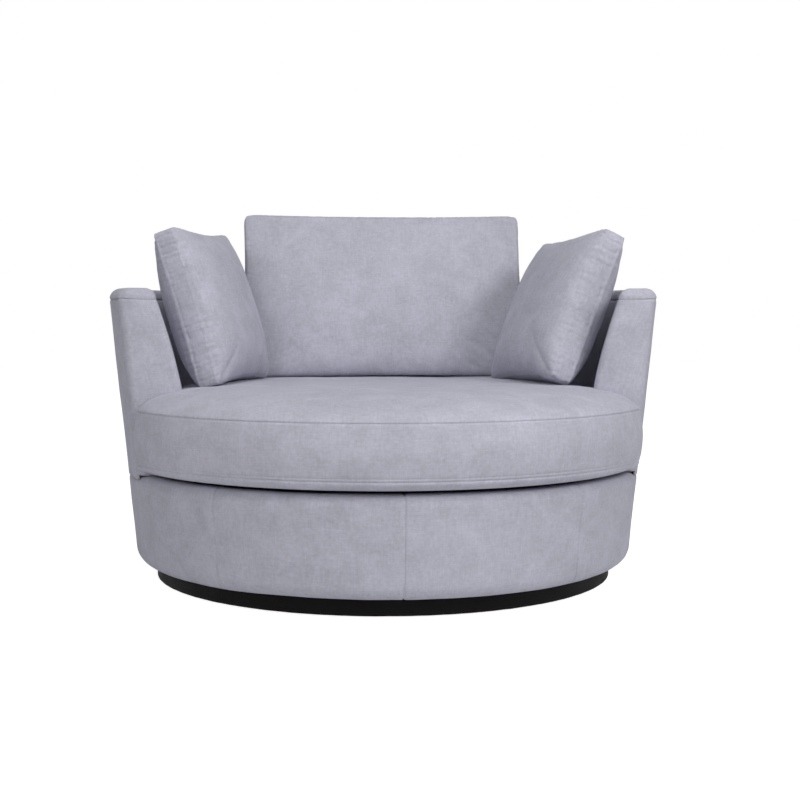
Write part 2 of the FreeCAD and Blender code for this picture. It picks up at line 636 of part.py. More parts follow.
def seat_solid(shrink):
    """Seat cushion, or its filling when shrink is the cloth's thickness."""
    def level(z, front_inset, wall_inset, bulge=0.0):
        nose = SEAT_FRONT_RADIUS - shrink - front_inset + bulge
        front = SEAT_FRONT_RADIUS - shrink - wall_inset + bulge
        wall = WELL_RADIUS - SOFT_GAP - shrink - wall_inset
        line = ARM_FRONT - SOFT_GAP - shrink - wall_inset * SEAT_EAR_SLOPE
        return seat_outline(z, front, wall, line, SEAT_EAR_RADIUS, nose)
    wires = []
    under = SEAT_BOTTOM_SEAM - DECK_TOP - SOFT_GAP - shrink
    for drop, inset in reversed(crown_steps(under, SEAT_UNDER_REACH)):
        wires.append(level(SEAT_BOTTOM_SEAM - drop, inset, inset))
    border = SEAT_TOP_SEAM - SEAT_BOTTOM_SEAM
    for i in range(CUSHION_STEPS + 1):
        share = i / CUSHION_STEPS
        wires.append(level(SEAT_BOTTOM_SEAM + border * share, 0.0, 0.0, SEAT_BULGE * sin(pi * share)))
    walls = crown_steps(SEAT_CROWN - shrink, SEAT_WALL_REACH)
    for (rise, inset), (_, wall_inset) in zip(crown_steps(SEAT_CROWN - shrink, SEAT_FRONT_REACH), walls):
        wires.append(level(SEAT_TOP_SEAM + rise, inset, wall_inset))
    return Part.makeLoft(wires, True, True)


def square_outline(centre, right, up, width, height, draw, corner):
    """Four drawn-in sides joined by small round corners, in the plane of right and up."""
    w, h = width / 2, height / 2

    def point(a, b):
        return centre + right * a + up * b
    edges = []
    nip = CORNER_NIP * corner
    signs = ((1, -1), (1, 1), (-1, 1), (-1, -1))
    for i, (sx, sy) in enumerate(signs):
        nx, ny = signs[(i + 1) % 4]
        if sx == nx:
            start, end = (sx * w, sy * (h - corner)), (nx * w, ny * (h - corner))
            middle = (sx * (w - draw), 0)
            corner_end = (nx * (w - corner), ny * h)
        else:
            start, end = (sx * (w - corner), sy * h), (nx * (w - corner), ny * h)
            middle = (0, sy * (h - draw))
            corner_end = (nx * w, ny * (h - corner))
        edges.append(Part.Arc(point(*start), point(*middle), point(*end)).toShape())
        tip = (nx * (w - nip), ny * (h - nip))
        edges.append(Part.Arc(point(*end), point(*tip), point(*corner_end)).toShape())
    return Part.Wire(edges)


def boxed_cushion(width, height, border, front_crown, rear_crown, reach, draw, corner, axes):
    """Boxed cushion about the origin; axes are its right, up and front directions."""
    right, up, front = axes

    def level(depth, inset):
        share = inset / reach
        room = min(width, height) / 2 - inset
        rounding = corner + (room - corner) * CROWN_ROUNDING * share
        return square_outline(front * depth, right, up, width - 2 * inset, height - 2 * inset,
                              draw * (1 - DRAW_FADE * share), rounding)
    wires = [level(-border / 2 - rise, inset) for rise, inset in reversed(crown_steps(rear_crown, reach))]
    wires += [level(-border / 2, 0.0), level(border / 2, 0.0)]
    wires += [level(border / 2 + rise, inset) for rise, inset in crown_steps(front_crown, reach)]
    return Part.makeLoft(wires, True, True)


def settled(shape, neighbours, direction, obstacle, clearance):
    """Slide the first shape, and those that go with it, until it is a clearance away from the obstacle."""
    for _ in range(SETTLE_MOVES):
        gap = shape.distToShape(obstacle)[0] - clearance
        if gap < SETTLE_TOLERANCE:
            break
        shape = shape.translated(direction * gap)
        neighbours = [other.translated(direction * gap) for other in neighbours]
    return shape, neighbours


def make_seat_cushion():
    whole = seat_solid(0.0)
    core = seat_solid(COVER)
    keep("seat_cushion_cover", whole.cut(core))
    keep("seat_cushion_foam", seat_solid(COVER + SOFT_GAP))
    return whole


def back_cushion_shapes():
    lean = radians(BACK_LEAN)
    axes = (FreeCAD.Vector(1, 0, 0), FreeCAD.Vector(0, sin(lean), cos(lean)), FreeCAD.Vector(0, -1, 0))
    shapes = []
    for shrink in (0.0, COVER, COVER + SOFT_GAP):
        shapes.append(boxed_cushion(
            BACK_WIDTH - 2 * shrink, BACK_HEIGHT - 2 * shrink, BACK_BORDER - 2 * shrink,
            BACK_CROWN, BACK_REAR_CROWN, BACK_REACH, BACK_DRAW, BACK_CORNER, axes))
    return shapes


def scatter_shapes(sign, turn, lean, pitch):
    """sign is +1 for the cushion on the sitter's left (+X), whose front faces -X."""
    placement = FreeCAD.Rotation(FreeCAD.Vector(0, 0, 1), turn)
    placement = placement.multiply(FreeCAD.Rotation(FreeCAD.Vector(0, 1, 0), lean))
    placement = placement.multiply(FreeCAD.Rotation(FreeCAD.Vector(1, 0, 0), pitch))
    axes = [placement.multVec(v) for v in (
        FreeCAD.Vector(0, sign, 0), FreeCAD.Vector(0, 0, 1), FreeCAD.Vector(-sign, 0, 0))]
    shapes = []
    for shrink in (0.0, COVER, COVER + SOFT_GAP):
        size = SCATTER_SIZE - 2 * shrink
        shapes.append(boxed_cushion(
            size, size, SCATTER_BORDER - 2 * shrink, SCATTER_CROWN, SCATTER_REAR_CROWN,
            SCATTER_REACH, SCATTER_DRAW, SCATTER_CORNER, axes))
    return shapes


def place_cushion(name, shapes, x, y, moves):
    """Bring the cushion to its place by moves, each a direction, what it stops at and how far from it."""
    start = FreeCAD.Vector(x, y, SEAT_TOP_SEAM + SEAT_CROWN + BACK_HEIGHT)
    shapes = [shape.translated(start) for shape in shapes]
    whole, others = shapes[0], shapes[1:]
    for move in moves:
        whole, others = settled(whole, others, *move)
    keep(name + "_cover", whole.cut(others[0]))
    keep(name + "_filling", others[1])
    return whole


def make_cushions():
    seat = make_seat_cushion()
    wall = behind(shell_ring(0.0, 0.0, 0.0, BASE_TOP), ARM_FRONT)
    down = FreeCAD.Vector(0, 0, -1)
    back = FreeCAD.Vector(0, 1, 0)
    rear = place_cushion("back_cushion", back_cushion_shapes(), BACK_OFFSET, WELL_RADIUS / 2,
                         [(down, seat, SOFT_GAP), (back, wall, SOFT_GAP), (down, seat, SOFT_GAP)])
    scatters = (
        ("scatter_cushion_left", 1, (LEFT_TURN, LEFT_LEAN, LEFT_PITCH), LEFT_FROM_BACK),
        ("scatter_cushion_right", -1, (RIGHT_TURN, RIGHT_LEAN, RIGHT_PITCH), RIGHT_FROM_BACK),
    )
    for name, sign, pose, from_back in scatters:
        place_cushion(name, scatter_shapes(sign, *pose), sign * SCATTER_SIDE, -SCATTER_FORWARD,
                      [(down, seat, SCATTER_LIFT), (back, rear, from_back), (down, seat, SOFT_GAP)])


make_plinth()
make_swivel()
make_base()
make_springs()
make_deck()
make_shell()
make_cushions()

os.makedirs("parts", exist_ok=True)
for name, shape in nodes.items():
    shape.exportStep("parts/" + name + ".step")
    state = "valid" if shape.isValid() else "BAD"
    print(name, len(shape.Solids), "solids", round(shape.Volume / 1000), "cm3", state)
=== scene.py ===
from math import acos, atan2, cos, exp, hypot, pi, radians, sin, sqrt, tan

import bmesh
import bpy
from mathutils import Matrix, Vector, noise
from mathutils.bvhtree import BVHTree
from mathutils.kdtree import KDTree


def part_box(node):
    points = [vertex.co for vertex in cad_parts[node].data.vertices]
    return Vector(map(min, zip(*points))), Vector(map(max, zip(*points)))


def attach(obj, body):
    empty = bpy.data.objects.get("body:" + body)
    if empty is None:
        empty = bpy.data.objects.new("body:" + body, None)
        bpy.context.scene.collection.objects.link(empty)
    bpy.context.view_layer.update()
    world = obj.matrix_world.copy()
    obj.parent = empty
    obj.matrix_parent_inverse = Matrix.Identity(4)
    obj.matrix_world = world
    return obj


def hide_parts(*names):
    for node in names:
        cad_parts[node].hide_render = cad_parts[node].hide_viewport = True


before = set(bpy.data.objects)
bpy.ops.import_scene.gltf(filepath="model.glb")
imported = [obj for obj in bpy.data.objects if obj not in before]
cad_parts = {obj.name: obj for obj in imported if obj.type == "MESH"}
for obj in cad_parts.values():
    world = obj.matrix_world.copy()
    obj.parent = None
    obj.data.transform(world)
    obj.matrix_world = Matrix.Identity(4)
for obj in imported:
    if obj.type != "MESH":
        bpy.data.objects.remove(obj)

scene = bpy.context.scene
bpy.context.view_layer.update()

# Plinth carcase
# A bent plywood hoop closed by a round board on two halved pine rails, with glued corner
# blocks. Nine nylon glides with stems are pressed into the underside and carry the chair.
PLY_FACE = (0.52, 0.36, 0.20, 1)
PLY_GLUE = (0.16, 0.09, 0.045, 1)
PINE_PALE = (0.60, 0.42, 0.22, 1)
PINE_DARK = (0.36, 0.20, 0.09, 1)
NYLON_BLACK = (0.018, 0.018, 0.019, 1)
NYLON_SCUFF = (0.07, 0.07, 0.072, 1)
GRAIN_SPACING = 0.012


def plug(tree, made, inputs):
    """Sets a node's inputs from values, or links them from sockets."""
    for name, value in inputs.items():
        if isinstance(value, bpy.types.NodeSocket):
            tree.links.new(value, made.inputs[name])
        else:
            made.inputs[name].default_value = value
    return made


def put(tree, kind, inputs=None, **settings):
    """Adds a shader node; inputs are values or sockets to link from."""
    made = tree.nodes.new("ShaderNode" + kind)
    for name, value in settings.items():
        setattr(made, name, value)
    return plug(tree, made, inputs or {})


def remap(tree, value, low, high, start=0.0, end=1.0):
    """Maps start..end of a value to low..high."""
    return put(tree, "MapRange", {0: value, 1: start, 2: end, 3: low, 4: high}).outputs[0]


def mix_colour(tree, share, dark, light):
    return put(tree, "Mix", {0: share, 6: dark, 7: light}, data_type="RGBA").outputs[2]


def calculate(tree, operation, a, b):
    return put(tree, "Math", {0: a, 1: b}, operation=operation).outputs[0]


def stretch(tree, place, by, operation="MULTIPLY"):
    return put(tree, "VectorMath", {0: place, 1: by}, operation=operation).outputs[0]


def speckle(tree, place, scale, detail, **more):
    """Noise at a scale per metre."""
    return put(tree, "TexNoise", {"Vector": place, "Scale": scale, "Detail": detail, **more}).outputs["Fac"]


def effect(name, inputs, outputs):
    """Starts a node group and returns it with its input and output nodes."""
    group = bpy.data.node_groups.new(name, "ShaderNodeTree")
    for direction, sockets in (("INPUT", inputs), ("OUTPUT", outputs)):
        for label, kind, value in sockets:
            socket = group.interface.new_socket(
                name=label, in_out=direction, socket_type="NodeSocket" + kind)
            if value is not None:
                socket.default_value = value
    return group, group.nodes.new("NodeGroupInput"), group.nodes.new("NodeGroupOutput")


def place_group(tree, group, inputs):
    return plug(tree, put(tree, "Group", node_tree=group), inputs)


def new_material(name, **shader):
    """A material with one Principled shader; plain numbers are set on the shader's own sockets."""
    material = bpy.data.materials.new(name)
    material.use_nodes = True
    tree = material.node_tree
    principled = tree.nodes["Principled BSDF"]
    for socket, value in shader.items():
        principled.inputs[socket.replace("_", " ")].default_value = value
    return material, tree, principled


def finish(tree, principled, colour, roughness, height, strength, distance):
    """Connects a surface's colour, roughness and fine relief to the shader."""
    relief = put(tree, "Bump", {"Height": height, "Strength": strength, "Distance": distance})
    plug(tree, principled, {"Base Color": colour, "Roughness": roughness, "Normal": relief.outputs["Normal"]})


def timber_grain():
    """Growth lines drawn out along one direction, with pores."""
    group, taken, given = effect(
        "timber_grain",
        [("Place", "Vector", None), ("Spacing", "Float", GRAIN_SPACING), ("Pale", "Color", PINE_PALE),
         ("Dark", "Color", PINE_DARK)],
        [("Color", "Color", None), ("Roughness", "Float", None), ("Height", "Float", None)])
    scaled = stretch(group, taken.outputs["Place"], taken.outputs["Spacing"], "DIVIDE")
    drawn = stretch(group, scaled, (0.06, 1.0, 1.0))
    lines = put(group, "TexWave", {"Vector": drawn, "Scale": 0.9, "Distortion": 5.0, "Detail": 2.0},
                wave_type="BANDS", bands_direction="Y")
    both = calculate(group, "MULTIPLY", lines.outputs["Fac"], speckle(group, drawn, 7.0, 3.0))
    plug(group, given, {
        "Color": mix_colour(group, both, taken.outputs["Dark"], taken.outputs["Pale"]),
        "Roughness": remap(group, both, 0.75, 0.5), "Height": both})
    return group


GRAIN = timber_grain()


def timber(name, pale, dark, spacing, plies=0.0):
    """Sawn timber, or plywood when plies gives the thickness of one layer."""
    material, tree, principled = new_material(name)
    place = put(tree, "TexCoord").outputs["Object"]
    grain = place_group(tree, GRAIN, {"Place": place, "Spacing": spacing, "Pale": pale, "Dark": dark})
    colour = grain.outputs["Color"]
    if plies:
        depth = put(tree, "SeparateXYZ", {0: place}).outputs["Z"]
        share = remap(tree, calculate(tree, "PINGPONG", depth, plies), 0.0, 1.0, end=plies)
        facing = put(tree, "SeparateXYZ", {0: put(tree, "NewGeometry").outputs["Normal"]})
        flat = put(tree, "Math", {0: facing.outputs["Z"]}, operation="ABSOLUTE").outputs[0]
        edge = calculate(tree, "SUBTRACT", 1.0, flat)
        colour = mix_colour(tree, calculate(tree, "MULTIPLY", edge, share), colour, PLY_GLUE)
    finish(tree, principled, colour, grain.outputs["Roughness"], grain.outputs["Height"], 0.25, 0.0006)
    return material


def scuffed_plastic(name, colour, scuff, roughness):
    """Moulded plastic with a fine spark-eroded grain and paler rubbed patches."""
    material, tree, principled = new_material(name, Specular_IOR_Level=0.4)
    place = put(tree, "TexCoord").outputs["Object"]
    patch = speckle(tree, place, 90.0, 5.0)
    rubbed = mix_colour(tree, remap(tree, patch, 0.0, 0.6, 0.5, 0.75), colour, scuff)
    finish(tree, principled, rubbed, remap(tree, patch, roughness - 0.1, roughness + 0.15),
           speckle(tree, place, 1400.0, 2.0), 0.15, 0.0002)
    return material


def dress(material, *names):
    """Gives CAD nodes their finish."""
    for name in names:
        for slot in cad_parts[name].material_slots:
            slot.material = material


plywood = timber("plywood", PLY_FACE, (0.38, 0.24, 0.12, 1), GRAIN_SPACING, plies=0.0015)
pine = timber("pine", PINE_PALE, PINE_DARK, 0.008)
nylon = scuffed_plastic("black_nylon", NYLON_BLACK, NYLON_SCUFF, 0.5)
dress(plywood, "plinth_hoop", "plinth_board")
dress(pine, "plinth_rail_across", "plinth_rail_front_to_back", "plinth_corner_blocks")
dress(nylon, "plinth_glides")

# Plinth wrap
# A strip of black woven cloth glued round the hoop and turned in over both of its edges. Its
# ends meet in a butt seam at the back; it shows faint glue ripples and a dull sheen.
WRAP_BLACK = (0.0014, 0.0011, 0.0012, 1)
WRAP_WORN = (0.0050, 0.0036, 0.0036, 1)
WRAP_THREAD = 0.0009
PLINTH_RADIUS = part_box("plinth_cover")[1][0]
WRAP_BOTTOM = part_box("plinth_cover")[0][2]
WRAP_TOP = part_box("plinth_cover")[1][2]
WRAP_EDGE = 0.002
WRAP_TURN_IN = 0.014
WRAP_RIPPLE = 0.0004
WRAP_THICKNESS = 0.0009


def rounded_line(corners, step):
    """Points (a, b) along straight stretches between (a, b, radius) corners, with round turns."""
    stops = []
    for i, (a, b, radius) in enumerate(corners):
        if radius == 0:
            stops.append([(a, b)])
            continue
        before, after = corners[i - 1], corners[i + 1]
        u = Vector((before[0] - a, before[1] - b)).normalized()
        v = Vector((after[0] - a, after[1] - b)).normalized()
        half = acos(max(-1.0, min(1.0, u.dot(v)))) / 2
        centre = Vector((a, b)) + (u + v).normalized() * radius / sin(half)
        start = Vector((a, b)) + u * radius / tan(half) - centre
        end = Vector((a, b)) + v * radius / tan(half) - centre
        turn = pi - 2 * half
        if start.x * end.y - start.y * end.x < 0:
            turn = -turn
        count = max(5, int(abs(turn) * radius / (step * 0.6)))
        arc = []
        for k in range(count + 1):
            t = turn * k / count
            arc.append((centre.x + start.x * cos(t) - start.y * sin(t),
                        centre.y + start.x * sin(t) + start.y * cos(t)))
        stops.append(arc)
    points = [stops[0][0]]
    for stop in stops:
        run = hypot(stop[0][0] - points[-1][0], stop[0][1] - points[-1][1])
        count = max(1, round(run / step))
        last = points[-1]
        if run > 1e-9:
            for k in range(1, count + 1):
                points.append((last[0] + (stop[0][0] - last[0]) * k / count,
                               last[1] + (stop[0][1] - last[1]) * k / count))
        points += stop[1:]
    return points


def outward(profile):
    """Unit normals of a (radius, height) line, on its right as it runs."""
    normals = []
    for i in range(len(profile)):
        a = profile[max(i - 1, 0)]
        b = profile[min(i + 1, len(profile) - 1)]
        length = hypot(b[0] - a[0], b[1] - a[1])
        normals.append(((b[1] - a[1]) / length, -(b[0] - a[0]) / length))
    return normals


def run_lengths(line):
    """Distance along a line at each of its points."""
    lengths = [0.0]
    for a, b in zip(line, line[1:]):
        lengths.append(lengths[-1] + hypot(b[0] - a[0], b[1] - a[1]))
    return lengths


def sewn_columns(seams, step, radius):
    """Angles once round from the back, closer together beside each seam."""
    count = round(2 * pi * radius / step)
    angles = [-pi + 2 * pi * i / count for i in range(count + 1)]
    for seam in seams:
        near = [seam + side * gap / radius for gap in (0.0008, 0.002, 0.0036, 0.006) for side in (-1, 1)]
        angles = [a for a in angles if abs(a - seam) > 0.008 / radius] + near + [seam]
    return sorted(set(a for a in angles if -pi <= a <= pi))


def cloth_mesh(name, patches, weld=1e-6):
    """One mesh from patches; each is (rows of points, rows of flat cloth coordinates in metres)."""
    work = bmesh.new()
    layer = work.loops.layers.uv.new("cloth")
    for rows, flat in patches:
        made = [[work.verts.new(p) for p in row] for row in rows]
        for k in range(len(rows) - 1):
            for j in range(len(rows[k]) - 1):
                corners = ((k, j), (k, j + 1), (k + 1, j + 1), (k + 1, j))
                face = work.faces.new([made[a][b] for a, b in corners])
                face.smooth = True
                for loop, (a, b) in zip(face.loops, corners):
                    loop[layer].uv = flat[a][b]
    if weld:
        bmesh.ops.remove_doubles(work, verts=work.verts, dist=weld)
        bmesh.ops.dissolve_degenerate(work, edges=work.edges, dist=weld)
    mesh = bpy.data.meshes.new(name)
    work.to_mesh(mesh)
    work.free()
    piece = bpy.data.objects.new(name, mesh)
    scene.collection.objects.link(piece)
    return piece


def turned_patch(profile, angles, relief):
    """Patch of a profile turned about the swivel axis; relief(angle, run, point) stands it proud."""
    normals = outward(profile)
    runs = run_lengths(profile)
    rows, flat = [], []
    for (r, z), (nr, nz), run in zip(profile, normals, runs):
        row, flat_row = [], []
        for a in angles:
            point = Vector((r * sin(a), -r * cos(a), z))
            proud = relief(a, run, point)
            row.append((point.x + nr * proud * sin(a), point.y - nr * proud * cos(a), z + nz * proud))
            flat_row.append((a * PLINTH_RADIUS, run))
        rows.append(row)
        flat.append(flat_row)
    return rows, flat


def cover(piece, material, body, slot, *nodes):
    """Dresses a piece that stands in for CAD nodes and rides on their body."""
    piece.data.materials.append(material)
    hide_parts(*nodes)
    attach(piece, body)


def thicken(piece, thickness):
    """Gives cloth its thickness, on the inside."""
    made = piece.modifiers.new("thickness", "SOLIDIFY")
    made.thickness = thickness
    made.offset = -1
    made.use_even_offset = False


def woven_threads():
    """Over and under threads of a plain weave, uneven as spun yarn is."""
    group, taken, given = effect(
        "woven_threads",
        [("Place", "Vector", None), ("Thread", "Float", WRAP_THREAD), ("Slub", "Float", 0.5)],
        [("Height", "Float", None), ("Slubs", "Float", None)])
    scaled = stretch(group, taken.outputs["Place"], taken.outputs["Thread"], "DIVIDE")
    split = put(group, "SeparateXYZ", {0: scaled})
    ridges = []
    for across in "XY":
        turn = calculate(group, "MULTIPLY", split.outputs[across], pi)
        ridge = put(group, "Math", {0: turn}, operation="SINE").outputs[0]
        ridges.append(put(group, "Math", {0: ridge}, operation="ABSOLUTE").outputs[0])
    checks = put(group, "TexChecker", {"Vector": scaled, "Scale": 1.0})
    weave = put(group, "Mix", {0: checks.outputs["Fac"], 2: ridges[0], 3: ridges[1]}).outputs[0]
    slubs = [speckle(group, stretch(group, scaled, by), 0.6, 2.0)
             for by in ((0.045, 0.62, 1.0), (0.62, 0.045, 1.0))]
    both = put(group, "Mix", {0: 0.5, 2: slubs[0], 3: slubs[1]}).outputs[0]
    amount = calculate(group, "MULTIPLY", both, taken.outputs["Slub"])
    plug(group, given, {"Height": calculate(group, "ADD", weave, amount), "Slubs": both})
    return group


THREADS = woven_threads()


def plain_cloth(name, colour, worn, thread, sheen):
    """Tightly woven cloth in one colour, rubbed paler on the tops of its threads."""
    material, tree, principled = new_material(
        name, Roughness=0.8, Specular_IOR_Level=0.12, Sheen_Weight=sheen, Sheen_Roughness=0.4)
    place = put(tree, "UVMap", uv_map="cloth").outputs[0]
    threads = place_group(tree, THREADS, {"Place": place, "Thread": thread, "Slub": 0.6})
    patch = speckle(tree, place, 9.0, 4.0)
    rubbed = calculate(tree, "MULTIPLY", threads.outputs["Slubs"], patch)
    mixed = mix_colour(tree, remap(tree, rubbed, 0.0, 1.0, 0.15, 0.45), colour, worn)
    finish(tree, principled, mixed, remap(tree, patch, 0.62, 0.9), threads.outputs["Height"], 0.5, 0.0003)
    return material


def wrap_relief(angle, run, point):
    return WRAP_RIPPLE * noise.noise(point * 40) - WRAP_RIPPLE


wrap_cloth = plain_cloth("black_plinth_cloth", WRAP_BLACK, WRAP_WORN, WRAP_THREAD, 0.0)
wrap = cloth_mesh("plinth_wrap", [turned_patch(
    rounded_line([(PLINTH_RADIUS - WRAP_TURN_IN, WRAP_BOTTOM, 0), (PLINTH_RADIUS, WRAP_BOTTOM, WRAP_EDGE),
                  (PLINTH_RADIUS, WRAP_TOP, WRAP_EDGE), (PLINTH_RADIUS - WRAP_TURN_IN, WRAP_TOP, 0)], 0.004),
    sewn_columns([], 0.008, PLINTH_RADIUS), wrap_relief)], weld=0)
thicken(wrap, WRAP_THICKNESS)
cover(wrap, wrap_cloth, "plinth", "black_plinth_cloth", "plinth_cover")

# Swivel
# Two pressed zinc-plated rings with a row of thirty chromed balls in a nylon retainer between
# them. The lower ring is bolted to the plinth's board and the upper one to the drum's.
ZINC = (0.58, 0.57, 0.53, 1)
ZINC_DULL = (0.36, 0.35, 0.31, 1)
CHROME = (0.78, 0.79, 0.81, 1)
SPRING_GREY = (0.20, 0.21, 0.23, 1)
SPRING_OIL = (0.07, 0.07, 0.08, 1)
RUBBED_METAL = (0.8, 0.8, 0.8, 1)
SCRATCH_RUN = (12.0, 700.0, 90.0)


def worn_metal(name, colour, dull, roughness, blotch):
    """Metal with rolling marks, duller blotches and bright rubbed edges."""
    material, tree, principled = new_material(name, Metallic=1.0)
    coords = put(tree, "TexCoord").outputs["Object"]
    blotches = speckle(tree, coords, blotch, 5.0)
    mixed = mix_colour(tree, remap(tree, blotches, 0.0, 1.0, 0.35, 0.7), colour, dull)
    edges = put(tree, "NewGeometry").outputs["Pointiness"]
    bright = mix_colour(tree, remap(tree, edges, 0.0, 0.5, 0.52, 0.6), mixed, RUBBED_METAL)
    scratches = speckle(tree, stretch(tree, coords, SCRATCH_RUN), 1.0, 2.0)
    rough = remap(tree, blotches, roughness, roughness + 0.2)
    finish(tree, principled, bright, rough, scratches, 0.1, 0.0002)
    return material


zinc = worn_metal("zinc_steel", ZINC, ZINC_DULL, 0.3, 60.0)
dress(zinc, "swivel_lower_ring", "swivel_upper_ring", "swivel_lower_bolts", "swivel_upper_bolts",
      "shell_bolts")
dress(worn_metal("ball_steel", CHROME, (0.6, 0.6, 0.62, 1), 0.08, 200.0), "swivel_balls")
dress(scuffed_plastic("retainer_nylon", NYLON_BLACK, NYLON_SCUFF, 0.45), "ball_retainer")

# Drum carcase
# A bevelled plywood base board and a seat board with an opening for the springs, held apart by
# eight plywood ribs. A bent hardboard panel closes it and carries the foam.
HARDBOARD = (0.25, 0.145, 0.075, 1)
HARDBOARD_DARK = (0.15, 0.08, 0.04, 1)


def hardboard_finish():
    """Pressed brown fibre: smooth, with short dark fibres and slow blotches."""
    material, tree, principled = new_material("hardboard", Specular_IOR_Level=0.35)
    coords = put(tree, "TexCoord").outputs["Object"]
    fibres = speckle(tree, coords, 420.0, 4.0)
    both = calculate(tree, "ADD", fibres, speckle(tree, coords, 14.0, 3.0))
    mixed = mix_colour(tree, remap(tree, both, 0.0, 1.0, 0.75, 1.25), HARDBOARD_DARK, HARDBOARD)
    finish(tree, principled, mixed, remap(tree, fibres, 0.5, 0.75), fibres, 0.2, 0.0003)
    return material


hardboard = hardboard_finish()
dress(plywood, "base_board", "base_ribs", "seat_board")
dress(hardboard, "base_hoop")

# Drum upholstery
# Foam glued over the drum and a sewn cover drawn down over it: it rolls over the top edge, ends
# under the seat on a flat flange and is stapled under the board. Plain seams run down the wall.
SUEDE_LIGHT = (0.545, 0.541, 0.632, 1)
SUEDE_DARK = (0.375, 0.376, 0.434, 1)
SUEDE_SHEEN = (0.86, 0.86, 1.0, 1)
SUEDE_THREAD = 0.0011
NAP_SIZE = 0.050
SEAM_DEPTH = 0.0022
SEAM_WIDTH = 0.0021
PUCKER_SPACING = 0.011
PUCKER_HEIGHT = 0.0004
SOFT_WAVE = 0.0014
CLOTH_STEP = 0.006
DRUM_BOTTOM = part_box("base_cover")[0][2]
DRUM_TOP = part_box("base_cover")[1][2]
WALL_RADIUS = 0.636
WALL_FLARE = 0.11
DRUM_CORNER = 0.036
DRUM_ROLL = 0.024
FLANGE_RADIUS = 0.590
COVER_TUCK = 0.028
DRUM_SEAMS = [radians(a) for a in (-140, -90, -40, 0, 40, 90, 140)]
FOAM_DEPTH = 0.006


def wall_radius(z):
    """The outside wall is one cone through drum and shell."""
    return WALL_RADIUS + WALL_FLARE * (z - DRUM_TOP)


def brushed_suede():
    """Brushed nap: cloudy patches where the pile lies another way, over a fine woven ground."""
    group, taken, given = effect(
        "brushed_suede",
        [("Place", "Vector", None), ("Solid Place", "Vector", None), ("Thread", "Float", SUEDE_THREAD),
         ("Nap Size", "Float", NAP_SIZE), ("Light", "Color", SUEDE_LIGHT), ("Dark", "Color", SUEDE_DARK)],
        [("Color", "Color", None), ("Roughness", "Float", None), ("Height", "Float", None)])
    threads = place_group(group, THREADS, {
        "Place": taken.outputs["Place"], "Thread": taken.outputs["Thread"], "Slub": 0.8})
    scaled = stretch(group, taken.outputs["Solid Place"], taken.outputs["Nap Size"], "DIVIDE")
    clouds = speckle(group, scaled, 0.8, 5.0, Roughness=0.6, Distortion=0.6)
    grain = speckle(group, scaled, 6.5, 4.0, Roughness=0.7)
    nap = put(group, "Mix", {0: 0.35, 2: clouds, 3: speckle(group, scaled, 0.22, 2.0)}).outputs[0]
    fine = put(group, "Mix", {0: 0.42, 2: nap, 3: grain}).outputs[0]
    slubbed = put(group, "Mix", {0: 0.27, 2: fine, 3: threads.outputs["Slubs"]}).outputs[0]
    height = put(group, "Mix", {0: 0.4, 2: threads.outputs["Height"], 3: grain}).outputs[0]
    share = remap(group, slubbed, 0.0, 1.0, 0.38, 0.62)
    plug(group, given, {
        "Color": mix_colour(group, share, taken.outputs["Dark"], taken.outputs["Light"]),
        "Roughness": remap(group, nap, 0.95, 0.75, 0.3, 0.7), "Height": height})
    return group


SUEDE = brushed_suede()


def suede_finish(name, light, dark, nap_size):
    """The chair's cloth: a brushed suede look over a fine weave, with a soft sheen."""
    material, tree, principled = new_material(
        name, Specular_IOR_Level=0.25, Sheen_Weight=0.22, Sheen_Roughness=0.45)
    principled.inputs["Sheen Tint"].default_value = SUEDE_SHEEN
    suede = place_group(tree, SUEDE, {
        "Place": put(tree, "UVMap", uv_map="cloth").outputs[0],
        "Solid Place": put(tree, "TexCoord").outputs["Object"],
        "Thread": SUEDE_THREAD, "Nap Size": nap_size, "Light": light, "Dark": dark})
    finish(tree, principled, *(suede.outputs[k] for k in ("Color", "Roughness", "Height")), 0.45, 0.0005)
    return material


def groove(distance):
    """How far a seam draws the cloth in at a distance from its stitches."""
    return -SEAM_DEPTH * exp(-(distance / SEAM_WIDTH) ** 2)


def pucker(distance, along):
    """Small gathers beside a seam."""
    phase = 2 * pi * along / PUCKER_SPACING + 3 * noise.noise(Vector((along * 30, 7, 1)))
    return PUCKER_HEIGHT * sin(phase) * exp(-(distance / 0.009) ** 2) * (1 - exp(-(distance / 0.002) ** 2))


def soft_wave(point):
    """Slow unevenness of foam under cloth."""
    return SOFT_WAVE * noise.noise(point * 5.5) + SOFT_WAVE * 0.35 * noise.noise(point * 19)


def drum_relief(angle, run, point):
    proud = soft_wave(point)
    for seam in DRUM_SEAMS:
        distance = abs(angle - seam) * WALL_RADIUS
        if distance < 0.04:
            proud += groove(distance) + pucker(distance, run)
    return proud


def upholstery(piece, material, thickness, fill, body, *nodes):
    """The calls that every stuffed and covered piece needs."""
    if thickness:
        thicken(piece, thickness)
    cover(piece, material, body, "upholstery_fabric", *nodes)


suede = suede_finish("pale_grey_suede", SUEDE_LIGHT, SUEDE_DARK, NAP_SIZE)
drum_profile = rounded_line([
    (wall_radius(DRUM_BOTTOM) - DRUM_CORNER - COVER_TUCK, DRUM_BOTTOM, 0),
    (wall_radius(DRUM_BOTTOM), DRUM_BOTTOM, DRUM_CORNER),
    (wall_radius(DRUM_TOP), DRUM_TOP, DRUM_ROLL),
    (FLANGE_RADIUS, DRUM_TOP, 0)], CLOTH_STEP)
drum = cloth_mesh("drum_upholstery", [turned_patch(
    drum_profile, sewn_columns(DRUM_SEAMS, CLOTH_STEP, WALL_RADIUS), drum_relief)], weld=0)
upholstery(drum, suede, FOAM_DEPTH, 0.9, "chair", "base_cover", "base_padding")

